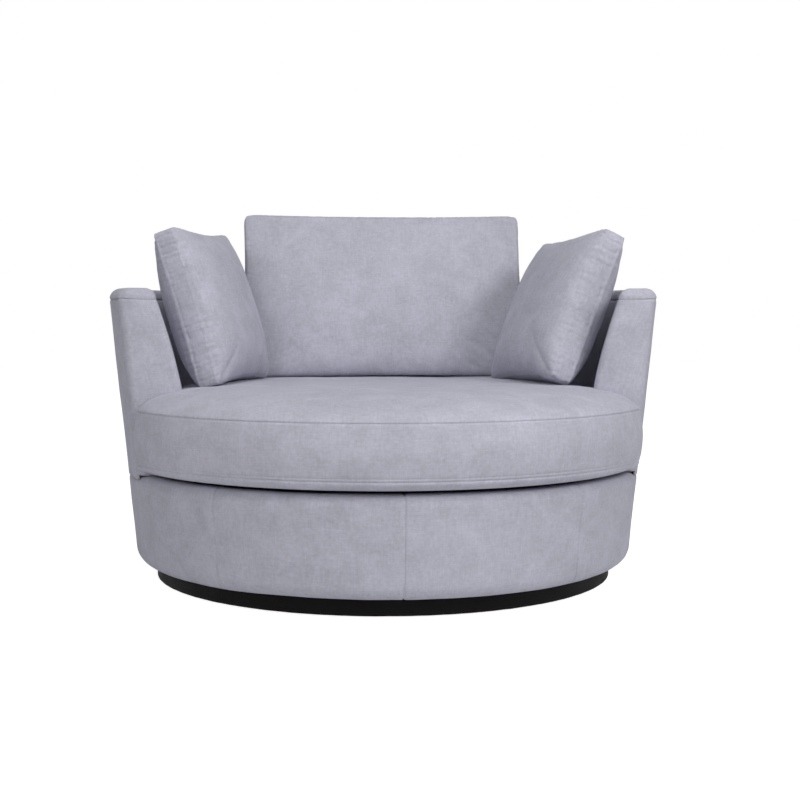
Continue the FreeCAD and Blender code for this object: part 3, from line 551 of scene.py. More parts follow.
# Dust cover
# Black spun cloth stapled flat under the base board, from the swivel to the edge of the cover.
DUST_BLACK = (0.012, 0.012, 0.013, 1)
DUST_WORN = (0.03, 0.03, 0.032, 1)
DUST_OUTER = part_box("dust_cover")[1][0]
DUST_INNER = 0.178
DUST_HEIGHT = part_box("dust_cover")[0][2]
DUST_SAG = 0.0007


def dust_relief(angle, run, point):
    """It hangs a little between its staples."""
    return DUST_SAG * (0.5 + 0.5 * sin(angle * 36)) * sin(pi * min(1.0, run / (DUST_OUTER - DUST_INNER)))


dust_cloth = plain_cloth("dust_cover_cloth", DUST_BLACK, DUST_WORN, 0.0014, 0.05)
dust = cloth_mesh("dust_cloth", [turned_patch(
    rounded_line([(DUST_INNER, DUST_HEIGHT + DUST_SAG, 0), (DUST_OUTER, DUST_HEIGHT + DUST_SAG, 0)], 0.03),
    sewn_columns([], 0.02, DUST_OUTER), dust_relief)], weld=0)
cover(dust, dust_cloth, "chair", "dust_cover_cloth", "dust_cover")

# Springs and deck
# Eight sinuous springs hooked into plastic clips across the opening, and over them a thin foam
# pad in black platform cloth that the seat cushion lies on. The cloth's near-black is partly its own
# colour and partly painted shade: its edge fills the gap under the cushion's front with black.
# Near-black deck colour: the cloth's own black, and also painted shade where its edge shows under the seat
# cushion's front.
DECK_BLACK_AND_SHADE = (0.011, 0.011, 0.012, 1)
DECK_WORN = (0.028, 0.028, 0.030, 1)
CLIP_GREY = (0.45, 0.45, 0.42, 1)
CLIP_SCUFF = (0.6, 0.6, 0.57, 1)
DECK_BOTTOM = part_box("deck_cloth")[0][2]
DECK_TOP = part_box("deck_cloth")[1][2]
DECK_EDGE = 0.0022
DECK_SAG = 0.0006
ARM_FRONT = 0.250
SOFT_GAP = 0.0003
WELL_RADIUS = 0.545
EAR_RADIUS = 0.024
DECK_RINGS = 26


def tee_outline(front, wall, ear_line, ear, step):
    """Round in front, stepping in to the shell behind the ears; points run round from the back."""
    centre_y = ear_line + ear
    centre_x = sqrt((front - ear) ** 2 - centre_y ** 2)
    away = atan2(centre_x, centre_y)
    corner = sqrt(wall ** 2 - ear_line ** 2)
    shoulder = pi - atan2(corner, -ear_line) if ear_line < 0 else atan2(corner, ear_line)
    right = []
    for k in range(round(wall * (pi - shoulder) / step) + 1):
        t = pi - (pi - shoulder) * k / round(wall * (pi - shoulder) / step)
        right.append((wall * sin(t), -wall * cos(t)))
    count = max(2, round((centre_x - corner) / (step * 0.7)))
    for k in range(1, count + 1):
        right.append((corner + (centre_x - corner) * k / count, -ear_line))
    count = max(6, round(ear * (pi - away) / (step * 0.6)))
    for k in range(1, count + 1):
        t = pi - (pi - away) * k / count
        right.append((centre_x + ear * sin(t), -centre_y - ear * cos(t)))
    count = round(front * away / step)
    for k in range(1, count + 1):
        t = away * (1 - k / count)
        right.append((front * sin(t), -front * cos(t)))
    return right[::-1] + [(-x, y) for x, y in right[1:]]


def deck_patches():
    """The deck's edge from below, and its top in rings towards the middle."""
    outline = tee_outline(FLANGE_RADIUS - 0.002, WELL_RADIUS - SOFT_GAP, ARM_FRONT + SOFT_GAP, EAR_RADIUS,
                          2 * CLOTH_STEP)
    rows = []
    for inset, z in ((0.0, DECK_BOTTOM), (0.0, DECK_TOP - DECK_EDGE), (0.0007, DECK_TOP - 0.0007),
                     (DECK_EDGE, DECK_TOP)):
        shrink = 1 - inset / FLANGE_RADIUS
        rows.append([(x * shrink, y * shrink, z) for x, y in outline])
    for k in range(1, DECK_RINGS):
        share = (1 - DECK_EDGE / FLANGE_RADIUS) * (1 - k / DECK_RINGS)
        sag = DECK_SAG * sin(pi * k / DECK_RINGS / 2)
        rows.append([
            (x * share, y * share, DECK_TOP - sag - DECK_SAG * abs(noise.noise(Vector((x, y, 0)) * 9)))
            for x, y in outline])
    flat = [[(x, y) for x, y, _ in row] for row in rows]
    return [(rows, flat)]


def close_up(piece, fill_holes):
    """Turns a closed piece's faces outwards, after filling its open rings if asked."""
    work = bmesh.new()
    work.from_mesh(piece.data)
    if fill_holes:
        ring = sorted((e for e in work.edges if e.is_boundary), key=lambda e: e.verts[0].co.z)
        bmesh.ops.holes_fill(work, edges=ring)
    bmesh.ops.recalc_face_normals(work, faces=work.faces)
    work.to_mesh(piece.data)
    work.free()


# The deck's near-black also paints the shade of the gap under the seat cushion's front.
deck_cloth = plain_cloth("deck_cloth", DECK_BLACK_AND_SHADE, DECK_WORN, 0.0012, 0.1)
deck = cloth_mesh("seat_deck", deck_patches(), weld=1e-5)
close_up(deck, True)
cover(deck, deck_cloth, "chair", "deck_cloth", "deck_cloth", "deck_pad")
dress(worn_metal("spring_steel", SPRING_GREY, SPRING_OIL, 0.35, 45.0), "seat_springs")
dress(scuffed_plastic("clip_plastic", CLIP_GREY, CLIP_SCUFF, 0.5), "spring_clips")

# Shell frame
# Plywood rails top and bottom, seven ribs and two arm boards, with bent hardboard panels inside
# and outside. Six bolts hold the shell down on the seat board.
dress(plywood, "shell_bottom_rail", "shell_top_rail", "shell_ribs", "arm_front_board_left",
      "arm_front_board_right")
dress(hardboard, "shell_outer_panel", "shell_inner_panel")

# Shell upholstery
# The outside is one long panel pulled down over the drum's top edge; the inside flares above the
# seat; a band runs over the rim and down a little over both arm fronts, with plain seams below it.
RIM_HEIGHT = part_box("rim_cover")[1][2]
RIM_ROLL = 0.025
RIM_BAND = 0.026
WELL_FLARE = 0.2
FLARE_START = 0.420
OUTSIDE_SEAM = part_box("outside_cover")[0][2]
FRONT_ROUND = 0.016
FRONT_CROWN = 0.0030
INNER_ROUND = 0.025
ARM_SWELL = 0.015
SWELL_REACH = 0.20
SWELL_START = 0.33
FRONT_STOPS = (0.0, 0.012, 0.05, 0.11, 0.20, 0.31, 0.45, 0.61, 0.80, 1.0)
BEHIND_FRONT = (0.0, 0.001, 0.0022, 0.0036, 0.0055, 0.009, 0.015, 0.022)
ACROSS_FRONT = (0.04, 0.09, 0.16, 0.25, 0.36, 0.5, 0.64, 0.75, 0.84, 0.91, 0.96)
FRONT_SEAM = 0.0006
FRONT_ROWS = 64
SHELL_STEP = 0.0075
OUTSIDE_SEAMS = [radians(a) for a in (-120, 120, 180)]


def well_radius(z):
    """The inside wall flares towards the rim."""
    return WELL_RADIUS + WELL_FLARE * max(0.0, z - FLARE_START)


def front_round(normal):
    """Radius of the turn onto the arm fronts: small outside, softer inside."""
    share = 0.5 - 0.5 * max(-1.0, min(1.0, 1.6 * normal[0]))
    upright = 1 - min(1.0, 1.5 * abs(normal[1]))
    return FRONT_ROUND + (INNER_ROUND - FRONT_ROUND) * share * upright


def front_corner(side, point, normal, d, proud):
    """A point of the shell d behind the plane of the arm fronts."""
    turn = front_round(normal)
    share = min(1.0, d / turn)
    inset = turn - sqrt(turn ** 2 - (turn - d) ** 2) if d < turn else 0.0
    out = point[0] + normal[0] * (proud * share - inset)
    height = point[1] + normal[1] * (proud * share - inset)
    x = side * sqrt(out ** 2 - (ARM_FRONT - d) ** 2)
    return x, d - ARM_FRONT - proud * (1 - share), height


def arm_swell(normal, z, d):
    """How far the stuffing inside the arms stands out near their fronts."""
    share = min(1.0, max(0.0, (z - SWELL_START) / (RIM_HEIGHT - SWELL_START)))
    return ARM_SWELL * max(0.0, -normal[0]) * sin(pi * share ** 0.9) * exp(-(d / SWELL_REACH) ** 2)


def shell_columns(radius, turn):
    """(angle, distance behind the arm fronts) from the left arm round the back to the right arm."""
    ends = [(acos((ARM_FRONT - turn - d) / radius), turn + d) for d in BEHIND_FRONT]
    first = ends[-1][0]
    count = round(WALL_RADIUS * (pi - acos((ARM_FRONT - FRONT_ROUND) / WALL_RADIUS)) / SHELL_STEP)
    middle = []
    for k in range(1, count + 1):
        a = first + (pi - first) * k / count
        middle.append((a, ARM_FRONT - radius * cos(a)))
    half = ends + middle
    return half + [(-a, d) for a, d in half[-2::-1]]


def shell_patch(profile, seams, lower, upper, fronts):
    """Patch of the shell along a profile; lower, upper and fronts say which of its edges are sewn."""
    normals = outward(profile)
    runs = run_lengths(profile)
    rows, flat = [], []
    for point, normal, run in zip(profile, normals, runs):
        r, z = point
        row, flat_row = [], []
        turn = front_round(normal)
        for a, d in shell_columns(r, turn):
            proud = soft_wave(Vector((r * sin(a), -r * cos(a), z)))
            near = (r - arm_swell(normal, z, d), z)
            if lower:
                proud += groove(run) + pucker(run, a * r)
            if upper:
                proud += groove(runs[-1] - run) + pucker(runs[-1] - run, a * r)
            if fronts:
                proud -= FRONT_SEAM * exp(-((d - turn) / SEAM_WIDTH) ** 2)
            for seam in seams:
                gap = min(abs(a - seam), 2 * pi - abs(a - seam)) * r
                if gap < 0.03:
                    proud += groove(gap) + pucker(gap, run)
            if d <= turn + BEHIND_FRONT[-1]:
                row.append(front_corner(1 if a > 0 else -1, near, normal, d, proud))
            else:
                out = near[0] + normal[0] * proud
                row.append((out * sin(a), -out * cos(a), z + normal[1] * proud))
            flat_row.append((a * WALL_RADIUS, run))
        rows.append(row)
        flat.append(flat_row)
    return rows, flat


def front_patch(side, pairs, lower, upper, fronts):
    """Panel round an arm front between pairs of (point, normal) on the inner and outer profiles."""
    rows, flat = [], []
    runs = run_lengths([outer for _, (outer, _) in pairs])
    for (inner, outer), run in zip(pairs, runs):
        ends = []
        for point, normal in (inner, outer):
            r, z = point
            corner = []
            turn = front_round(normal)
            for d in [turn * share for share in FRONT_STOPS]:
                a = acos((ARM_FRONT - d) / r)
                proud = soft_wave(Vector((r * sin(a) * side, -r * cos(a), z)))
                if lower:
                    proud += groove(run)
                if upper:
                    proud += groove(runs[-1] - run)
                if fronts:
                    proud -= FRONT_SEAM * exp(-((d - turn) / SEAM_WIDTH) ** 2)
                near = (r - arm_swell(normal, z, d), z)
                corner.append(front_corner(side, near, normal, d, proud))
            ends.append(corner)
        inner_end, outer_end = ends
        xi, yi, zi = inner_end[0]
        xo, yo, zo = outer_end[0]
        face = []
        for share in ACROSS_FRONT:
            crown = FRONT_CROWN * (1 - (2 * share - 1) ** 2) * min(1.0, abs(xo - xi) / 0.05)
            bumpy = 0.7 * soft_wave(Vector((xi + (xo - xi) * share, 3, zi))) * min(share, 1 - share) * 4
            face.append((xi + (xo - xi) * share, yi + (yo - yi) * share - crown - bumpy,
                         zi + (zo - zi) * share))
        row = inner_end[::-1] + face + outer_end
        across = run_lengths([(x, y) for x, y, _ in row])
        flat_row = [(side * u, run) for u in across]
        rows.append(row if side > 0 else row[::-1])
        flat.append(flat_row if side > 0 else flat_row[::-1])
    return rows, flat


band_height = RIM_HEIGHT - RIM_BAND
outer_line = rounded_line([
    (wall_radius(OUTSIDE_SEAM), OUTSIDE_SEAM, 0), (wall_radius(band_height), band_height, 0)], SHELL_STEP)
below_band = band_height - 0.02
section = rounded_line([
    (wall_radius(below_band), below_band, 0), (wall_radius(RIM_HEIGHT), RIM_HEIGHT, RIM_ROLL),
    (well_radius(RIM_HEIGHT), RIM_HEIGHT, RIM_ROLL), (well_radius(below_band), below_band, 0)], 0.004)
rim_line = [point for point in section if point[1] > band_height + 0.001]
rim_line = [(wall_radius(band_height), band_height)] + rim_line + [(well_radius(band_height), band_height)]
inner_line = rounded_line([(well_radius(band_height), band_height, 0), (WELL_RADIUS, FLARE_START, 0.08),
                           (WELL_RADIUS, DRUM_TOP, 0)], SHELL_STEP)

outside = cloth_mesh("outside_panel", [shell_patch(outer_line, OUTSIDE_SEAMS, False, True, True)])
upholstery(outside, suede, 0.005, 0.8, "chair", "outside_cover")
inside = cloth_mesh("inside_panel", [shell_patch(inner_line, [], True, False, True)])
upholstery(inside, suede, 0.025, 0.8, "chair", "inside_cover", "shell_padding")

rim_normals = outward(rim_line)
half = len(rim_line) // 2
rim_places = list(zip(rim_line, rim_normals))
rim_pairs = [(rim_places[-1 - k], rim_places[k]) for k in range(half)]
if len(rim_line) % 2:
    rim_pairs.append((rim_places[half], rim_places[half]))
rim = cloth_mesh("rim_band", [shell_patch(rim_line, [], True, True, False)]
                 + [front_patch(side, rim_pairs, True, False, False) for side in (-1, 1)], weld=2e-4)
upholstery(rim, suede, 0.006, 0.8, "chair", "rim_cover")

front_foot = DRUM_TOP + 0.0015
front_heights = [front_foot + (band_height - front_foot) * (1 - (1 - k / FRONT_ROWS) ** 1.15)
                 for k in range(FRONT_ROWS + 1)]
front_pairs = [(((well_radius(z), z), (-1.0, 0.0)), ((wall_radius(z), z), (1.0, 0.0))) for z in front_heights]
for name, side in (("right", -1), ("left", 1)):
    panel = cloth_mesh("arm_front_" + name, [front_patch(side, front_pairs, False, True, True)])
    upholstery(panel, suede, 0.006, 0.8, "chair", "arm_front_cover_" + name)

# Seat cushion
# One big box cushion of foam in a sewn cover: round in front, with ears before the arms. The
# border is joined to both panels by plain seams, and the lower one is stitched down beside it.
SEAT_FRONT = 0.652
SEAT_BULGE = 0.008
SEAT_LOW_SEAM = 0.298
SEAT_TOP_SEAM = 0.419
SEAT_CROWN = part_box("seat_cushion_cover")[1][2] - SEAT_TOP_SEAM
SEAT_UNDER = SEAT_LOW_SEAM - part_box("seat_cushion_cover")[0][2]
CROWN_REACH_FRONT = 0.235
CROWN_REACH_WALL = 0.095
UNDER_REACH = 0.045
CROWN_POWER = 0.58
TOPSTITCH = 0.007
SEAT_STEP = 0.009
SEAT_RINGS = 46
EAR_ANGLE = radians(66)
EAR_BLEND = radians(16)
EAR_FADE = 0.16
FREE_RADIUS = 0.56
HELD_SHARE = 0.15


def front_share(x, y):
    """1 towards the front, 0 towards the shell, changing over beside the ears."""
    angle = abs(atan2(x, -y))
    share = min(1.0, max(0.0, (EAR_ANGLE + EAR_BLEND - angle) / (2 * EAR_BLEND)))
    return share * share * (3 - 2 * share)


def smooth_outline(x, y):
    """The outline without its ears, which the crown follows away from the seam."""
    share = front_share(x, y)
    radius = SEAT_FRONT * share + (WELL_RADIUS - SOFT_GAP) * (1 - share)
    length = hypot(x, y)
    return x / length * radius, y / length * radius


def crown_reach(x, y):
    """How far from its seam the seat's top takes to reach its full height."""
    return CROWN_REACH_WALL + (CROWN_REACH_FRONT - CROWN_REACH_WALL) * front_share(x, y)


def seat_place(x, y, along):
    """Point of the seat's outline moved towards its middle; along is 0 at the seam and 1 at the middle."""
    sx, sy = smooth_outline(x, y)
    mix = min(1.0, along / EAR_FADE)
    mix = mix * mix * (3 - 2 * mix)
    return (x + (sx - x) * mix) * (1 - along), (y + (sy - y) * mix) * (1 - along)


def freedom(x, y):
    """The border stands out freely in front and is held by the shell behind the ears."""
    return 1.0 if hypot(x, y) > FREE_RADIUS else HELD_SHARE


def seat_patches():
    outline = tee_outline(SEAT_FRONT, WELL_RADIUS - SOFT_GAP, ARM_FRONT + SOFT_GAP, EAR_RADIUS, SEAT_STEP)
    normals = []
    for i, (x, y) in enumerate(outline):
        a, b = outline[i - 1], outline[(i + 1) % len(outline)]
        if i in (0, len(outline) - 1):
            a, b = outline[-2], outline[1]
        length = hypot(b[0] - a[0], b[1] - a[1])
        normals.append(((b[1] - a[1]) / length, -(b[0] - a[0]) / length))
    arc = run_lengths(outline)
    facing = -1 if normals[len(outline) // 4][0] * outline[len(outline) // 4][0] < 0 else 1

    def border_row(z, proud_of):
        row = []
        for (x, y), (nx, ny), run in zip(outline, normals, arc):
            proud = facing * proud_of(z, run, Vector((x, y, z))) * freedom(x, y)
            row.append((x + nx * proud, y + ny * proud, z))
        return row

    def border_proud(z, run, place):
        share = (z - SEAT_LOW_SEAM) / (SEAT_TOP_SEAM - SEAT_LOW_SEAM)
        low, top = z - SEAT_LOW_SEAM, SEAT_TOP_SEAM - z
        return SEAT_BULGE * sin(pi * share) + groove(low) + groove(top) + 0.5 * groove(low - TOPSTITCH) \
            + pucker(low, run) + pucker(top, run * 1.07) + 1.4 * soft_wave(place) * sin(pi * share)

    border = SEAT_TOP_SEAM - SEAT_LOW_SEAM
    offsets = [0, 0.0009, 0.002, 0.0036, 0.0052, 0.0062, TOPSTITCH, 0.0078, 0.009, 0.011]
    levels = [SEAT_LOW_SEAM + d for d in offsets]
    levels += [SEAT_LOW_SEAM + 0.011 + (border - 0.019) * k / 17 for k in range(1, 18)]
    levels += [SEAT_TOP_SEAM - d for d in (0.0055, 0.0036, 0.002, 0.0009, 0.0)]
    side_rows = [border_row(z, border_proud) for z in levels]
    side_flat = [[(run, z) for run in arc] for z in levels]

    def panel(z_seam, crown, reach_at, power, sign):
        rows, flat = [], []
        steps = [0.0, 0.0002, 0.0006, 0.0012, 0.0022, 0.004, 0.007, 0.012, 0.018]
        steps += [0.026 + 0.974 * (k / SEAT_RINGS) ** 1.15 for k in range(SEAT_RINGS + 1)]
        for along in steps:
            row, flat_row = [], []
            for (x, y), (nx, ny), run in zip(outline, normals, arc):
                px, py = seat_place(x, y, along)
                inset = hypot(x - px, y - py)
                near = min(1.0, inset / (reach_at(px, py) if along < 0.99 else reach_at(0.0, -0.3)))
                rise = crown * (1 - (1 - near) ** 2) ** power
                distance = hypot(inset, rise)
                tilt = min(1.0, sqrt(near) * 1.5)
                wave = 1.6 * soft_wave(Vector((px, py, z_seam))) * min(1.0, inset / 0.05)
                proud = (groove(distance) + pucker(distance, run)) * freedom(x, y)
                level = sqrt(1 - tilt ** 2) * proud * facing
                row.append((px + nx * level, py + ny * level,
                            z_seam + sign * (rise + proud * tilt + (wave if sign > 0 else 0.0))))
                flat_row.append((px, py))
            rows.append(row)
            flat.append(flat_row)
        return rows, flat

    top_rows, top_flat = panel(SEAT_TOP_SEAM, SEAT_CROWN, crown_reach, CROWN_POWER, 1)
    low_rows, low_flat = panel(SEAT_LOW_SEAM, SEAT_UNDER, lambda x, y: UNDER_REACH, 0.5, -1)
    return [(side_rows, side_flat), (top_rows, top_flat), (low_rows[::-1], low_flat[::-1])]


seat = cloth_mesh("seat_cushion", seat_patches(), weld=5e-5)
close_up(seat, False)
upholstery(seat, suede, 0.0, 0.85, "seat_cushion", "seat_cushion_cover", "seat_cushion_foam")

# Loose cushions
# Boxed cushions of fibre in the same cloth: two panels sewn to a narrow border. The cloth is cut
# a little larger than the filling, so it gathers in small puckers across the border.
CUSHION_STEP = 0.0068
CLOTH_SLACK = 0.022
FILL_PRESSURE = 4.0
PUFF_FRAMES = 20
PUFF_CAP = 0.012
WELT = 0.0012
WELT_WIDTH = 0.0022
CREASE_DEPTH = 0.0052
CREASE_SPACING = 0.020
CREASE_REACH = 0.021
CREASE_BREADTH = 0.17
BACK_SIZE = (0.784, 0.480, 0.105)
BACK_CROWNS = (0.046, 0.030)
BACK_DRAW = 0.006
BACK_SQUARENESS = 34
BACK_SAG = 0.42
BACK_GATHERS = 0.45
BACK_LEAN = radians(18.5)
BACK_SHIFT = (0, 0, -0.002)
SCATTER_SIZE = (0.412, 0.412, 0.052)
SCATTER_CROWNS = (0.056, 0.066)
SCATTER_DRAW = 0.015
SCATTER_SQUARENESS = 15
SCATTER_SAG = 0.12
SCATTER_GATHERS = 1.0
SCATTER_STANDS = (("left", 1, 11.5, 24.0, -3.5, (0.018, 0.0, -0.022)),
                  ("right", -1, -16.7, -17.5, 0.0, (0.0, 0.0, -0.012)))
SHELL_CLEARANCE = 0.004
REST_SQUEEZE = 0.004
REST_GAP = 0.0008


def boxed_patches(width, height, border, front_crown, rear_crown, draw, squareness, sag):
    """Front panel, border and rear panel of a boxed cushion about the origin: X right, Z up, -Y front."""
    across, up = round(width / CUSHION_STEP), round(height / CUSHION_STEP)

    def place(i, j, depth_sign, crown):
        a, b = 2 * i / across - 1, 2 * j / up - 1
        corner = (abs(a) ** squareness + abs(b) ** squareness) ** (1 / squareness)
        rounded = max(abs(a), abs(b)) / corner if corner > 1e-6 else 1.0
        x = a * rounded * (width / 2 - draw * (1 - b * b) * abs(a))
        z = b * rounded * (height / 2 - draw * (1 - a * a) * abs(b))
        belly = b + sag * (1 - b * b)
        full = (max(0.0, 1 - abs(a) ** 2.8) * max(0.0, 1 - abs(belly) ** 2.8)) ** 0.6
        return (x, depth_sign * (border / 2 + crown * full), z)
    front = [[place(i, j, -1, front_crown) for i in range(across + 1)] for j in range(up + 1)]
    rear = [[place(i, j, 1, rear_crown) for i in range(across, -1, -1)] for j in range(up + 1)]
    loop = [(i, 0) for i in range(across)] + [(across, j) for j in range(up)]
    loop += [(i, up) for i in range(across, 0, -1)] + [(0, j) for j in range(up, -1, -1)]
    layers = max(6, round(border / CUSHION_STEP))
    sides, sides_flat = [], []
    for k in range(layers + 1):
        share = 1 - 2 * k / layers
        row = [place(i, j, -1, 0.0) for i, j in loop]
        sides.append([(x, y * share, z) for x, y, z in row])
        sides_flat.append([(m * CUSHION_STEP, k * border / layers) for m in range(len(loop))])
    flats = [[[(x, z) for x, _, z in row] for row in rows] for rows in (front, rear)]
    return [(front, flats[0]), (sides[::-1], sides_flat[::-1]), (rear, flats[1])]


def puff(piece, seam_points, slack, pressure, cap):
    """Blows the cover up as cloth with its seams held, and keeps the shape it takes."""
    mesh = piece.data
    start = [v.co.copy() for v in mesh.vertices]
    piece.shape_key_add(name="Basis")
    cut = piece.shape_key_add(name="cut_size")
    for point, place in zip(cut.data, start):
        point.co = place * (1 + slack)
    held = piece.vertex_groups.new(name="seams")
    held.add(seam_points, 1.0, "REPLACE")
    cloth = piece.modifiers.new("puff", "CLOTH")
    for setting, value in (("quality", 6), ("mass", 0.25), ("tension_stiffness", 18),
                           ("compression_stiffness", 18), ("shear_stiffness", 8), ("bending_stiffness", 0.35),
                           ("use_pressure", True), ("uniform_pressure_force", pressure),
                           ("vertex_group_mass", held.name), ("pin_stiffness", 1.0), ("rest_shape_key", cut)):
        setattr(cloth.settings, setting, value)
    cloth.settings.effector_weights.gravity = 0
    cloth.point_cache.frame_start = 1
    cloth.point_cache.frame_end = PUFF_FRAMES
    for number in range(1, PUFF_FRAMES + 1):
        scene.frame_set(number)
    shaped = piece.evaluated_get(bpy.context.evaluated_depsgraph_get()).to_mesh()
    ends = [v.co.copy() for v in shaped.vertices]
    piece.evaluated_get(bpy.context.evaluated_depsgraph_get()).to_mesh_clear()
    piece.modifiers.remove(cloth)
    piece.shape_key_clear()
    piece.vertex_groups.clear()
    scene.frame_set(1)
    for vertex, a, b in zip(mesh.vertices, start, ends):
        move = b - a
        vertex.co = a + move * min(1.0, cap / max(move.length, 1e-9))


def round_the_edge(x, z, width, height):
    """Distance round a panel's outline to the place nearest to (x, z)."""
    a, b = x / width, z / height
    if abs(a) > abs(b):
        return height * 0.5 + z if a > 0 else width + height * 1.5 + height * 0.5 - z
    return height + width * 0.5 - x if b > 0 else -width * 0.5 + x


def creases(run, gap, seed):
    """Sharp little gathers that run out from a seam, in clusters."""
    cell = Vector((run / CREASE_SPACING, seed * 7.3, gap * 9))
    line = 1 - min(1.0, abs(noise.noise(cell)) / CREASE_BREADTH)
    reach = CREASE_REACH * (0.6 + 1.1 * abs(noise.noise(Vector((run * 21, seed * 3.1, 5)))))
    crowd = min(1.0, max(0.15, 0.75 + 1.3 * noise.noise(Vector((run * 6.5, seed, 9)))))
    sewn = 1 - exp(-(gap / 0.004) ** 2)
    return -CREASE_DEPTH * line ** 1.2 * crowd * sewn * exp(-(gap / reach) ** 2)


def fine_cloth(piece):
    """Replaces the mesh by a finer, smoother one."""
    smooth = piece.modifiers.new("fine_cloth", "SUBSURF")
    smooth.levels = 1
    smooth.render_levels = 1
    fine = bpy.data.meshes.new_from_object(piece.evaluated_get(bpy.context.evaluated_depsgraph_get()))
    piece.modifiers.remove(smooth)
    coarse = piece.data
    piece.data = fine
    bpy.data.meshes.remove(coarse)
    for polygon in fine.polygons:
        polygon.use_smooth = True


def stand(piece, axes, node, shift):
    """Turns the cushion to its axes and sets its box on the node's box, moved by shift."""
    right, up, front = axes
    turn = Matrix((right, -front, up)).transposed()
    for vertex in piece.data.vertices:
        vertex.co = turn @ vertex.co
    low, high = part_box(node)
    coords = [v.co for v in piece.data.vertices]
    for k in range(3):
        own_low = min(c[k] for c in coords)
        own_high = max(c[k] for c in coords)
        move = (low[k] + high[k]) / 2 - (own_low + own_high) / 2
        if k == 2:
            move = low[2] - own_low
        for c in coords:
            c[k] += move + shift[k]


def press_to_shell(piece):
    """Flattens a cushion where it leans on the inside of the shell."""
    for v in piece.data.vertices:
        x, y, z = v.co
        if z > RIM_HEIGHT + 0.002:
            continue
        over = max(0.0, z - RIM_HEIGHT + RIM_ROLL) / RIM_ROLL
        limit = well_radius(z) - SHELL_CLEARANCE + RIM_ROLL * (1 - sqrt(max(0.0, 1 - over * over)))
        limit -= arm_swell((-1.0, 0.0), z, max(0.0, y + ARM_FRONT))
        length = hypot(x, y)
        if limit < length < limit + 0.08:
            v.co.x, v.co.y = x * limit / length, y * limit / length


def soft_cushion(name, size, crowns, draw, squareness, sag, gathers, axes, shift, body, nodes):
    """One boxed cushion from flat panels to a piece that stands in for its CAD nodes."""
    width, height, border = size
    patches = boxed_patches(width, height, border, crowns[0], crowns[1], draw, squareness, sag)
    piece = cloth_mesh(name, patches, weld=1e-5)
    mesh = piece.data
    seams = set()
    for face in mesh.polygons:
        depths = {i: abs(mesh.vertices[i].co.y) for i in face.vertices}
        if abs(face.normal.y) < 1e-4 and all(d <= border / 2 + 1e-6 for d in depths.values()):
            seams.update(i for i, d in depths.items() if abs(d - border / 2) < 1e-6)
    ring = KDTree(len(seams))
    for index in sorted(seams):
        ring.insert(mesh.vertices[index].co, index)
    ring.balance()
    gaps = mesh.attributes.new("seam_gap", "FLOAT", "POINT")
    runs = mesh.attributes.new("seam_run", "FLOAT", "POINT")
    for v in mesh.vertices:
        gaps.data[v.index].value = ring.find(v.co)[2]
        runs.data[v.index].value = round_the_edge(v.co.x, v.co.z, width, height)
        v.co.y += 0.0012 * noise.noise(Vector((v.co.x * 45, len(name), v.co.z * 45)))
    puff(piece, sorted(seams), CLOTH_SLACK, FILL_PRESSURE, PUFF_CAP)
    fine_cloth(piece)
    mesh = piece.data
    gap_of, run_of = mesh.attributes["seam_gap"].data, mesh.attributes["seam_run"].data
    moves = []
    for v in mesh.vertices:
        gap, run = gap_of[v.index].value, run_of[v.index].value
        seam = -SEAM_DEPTH * exp(-(gap / WELT_WIDTH) ** 2)
        if v.co.y >= 0:
            beside = 0.4 * SEAM_DEPTH * exp(-((gap - 0.0050) / 0.003) ** 2)
            seam = WELT * exp(-(gap / WELT_WIDTH) ** 2) - beside
        slow = 2.2 * soft_wave(v.co + Vector((0, 0, len(name)))) * min(1.0, gap / 0.05)
        moves.append(v.normal * (seam + gathers * creases(run, gap, len(name)) + slow))
    for v, move in zip(mesh.vertices, moves):
        v.co += move
    for attribute in ("seam_gap", "seam_run"):
        mesh.attributes.remove(mesh.attributes[attribute])
    stand(piece, axes, nodes[0], shift)
    press_to_shell(piece)
    upholstery(piece, suede, 0.0, 0.7, body, *nodes)
    return piece


def give_way(lower, uppers, squeeze, margin):
    """Flattens cushions where they rest on another, which gives way below them."""
    ground = BVHTree.FromObject(lower, bpy.context.evaluated_depsgraph_get())
    for upper in uppers:
        for v in upper.data.vertices:
            hit = ground.ray_cast(v.co + Vector((0, 0, 0.06)), Vector((0, 0, -1)), 0.12)
            if hit[0] is not None and hit[1].z > 0 and hit[0].z - squeeze > v.co.z:
                v.co.z = hit[0].z - squeeze + 0.25 * (v.co.z - hit[0].z + squeeze)
        upper.data.update()
        tree = BVHTree.FromObject(upper, bpy.context.evaluated_depsgraph_get())
        for v in lower.data.vertices:
            if v.normal.z < 0.2:
                continue
            hit = tree.ray_cast(v.co - Vector((0, 0, 0.05)), Vector((0, 0, 1)), 0.08)
            if hit[0] is not None and hit[0].z - margin < v.co.z:
                v.co.z = hit[0].z - margin


back_up = Vector((0, sin(BACK_LEAN), cos(BACK_LEAN)))
loose = [soft_cushion("back_cushion", BACK_SIZE, BACK_CROWNS, BACK_DRAW, BACK_SQUARENESS, BACK_SAG, BACK_GATHERS,
                      (Vector((1, 0, 0)), back_up, Vector((0, -1, 0))), BACK_SHIFT, "back_cushion",
                      ("back_cushion_cover", "back_cushion_filling"))]
for name, side, turn, lean, pitch, shift in SCATTER_STANDS:
    spin = Matrix.Rotation(radians(turn), 3, "Z") @ Matrix.Rotation(radians(lean), 3, "Y") \
        @ Matrix.Rotation(radians(pitch), 3, "X")
    axes = (spin @ Vector((0, side, 0)), spin @ Vector((0, 0, 1)), spin @ Vector((-side, 0, 0)))
    body = "scatter_cushion_" + name
    loose.append(soft_cushion(body, SCATTER_SIZE, SCATTER_CROWNS, SCATTER_DRAW, SCATTER_SQUARENESS, SCATTER_SAG,
                              SCATTER_GATHERS, axes, shift, body, (body + "_cover", body + "_filling")))
give_way(seat, loose, REST_SQUEEZE, REST_GAP)

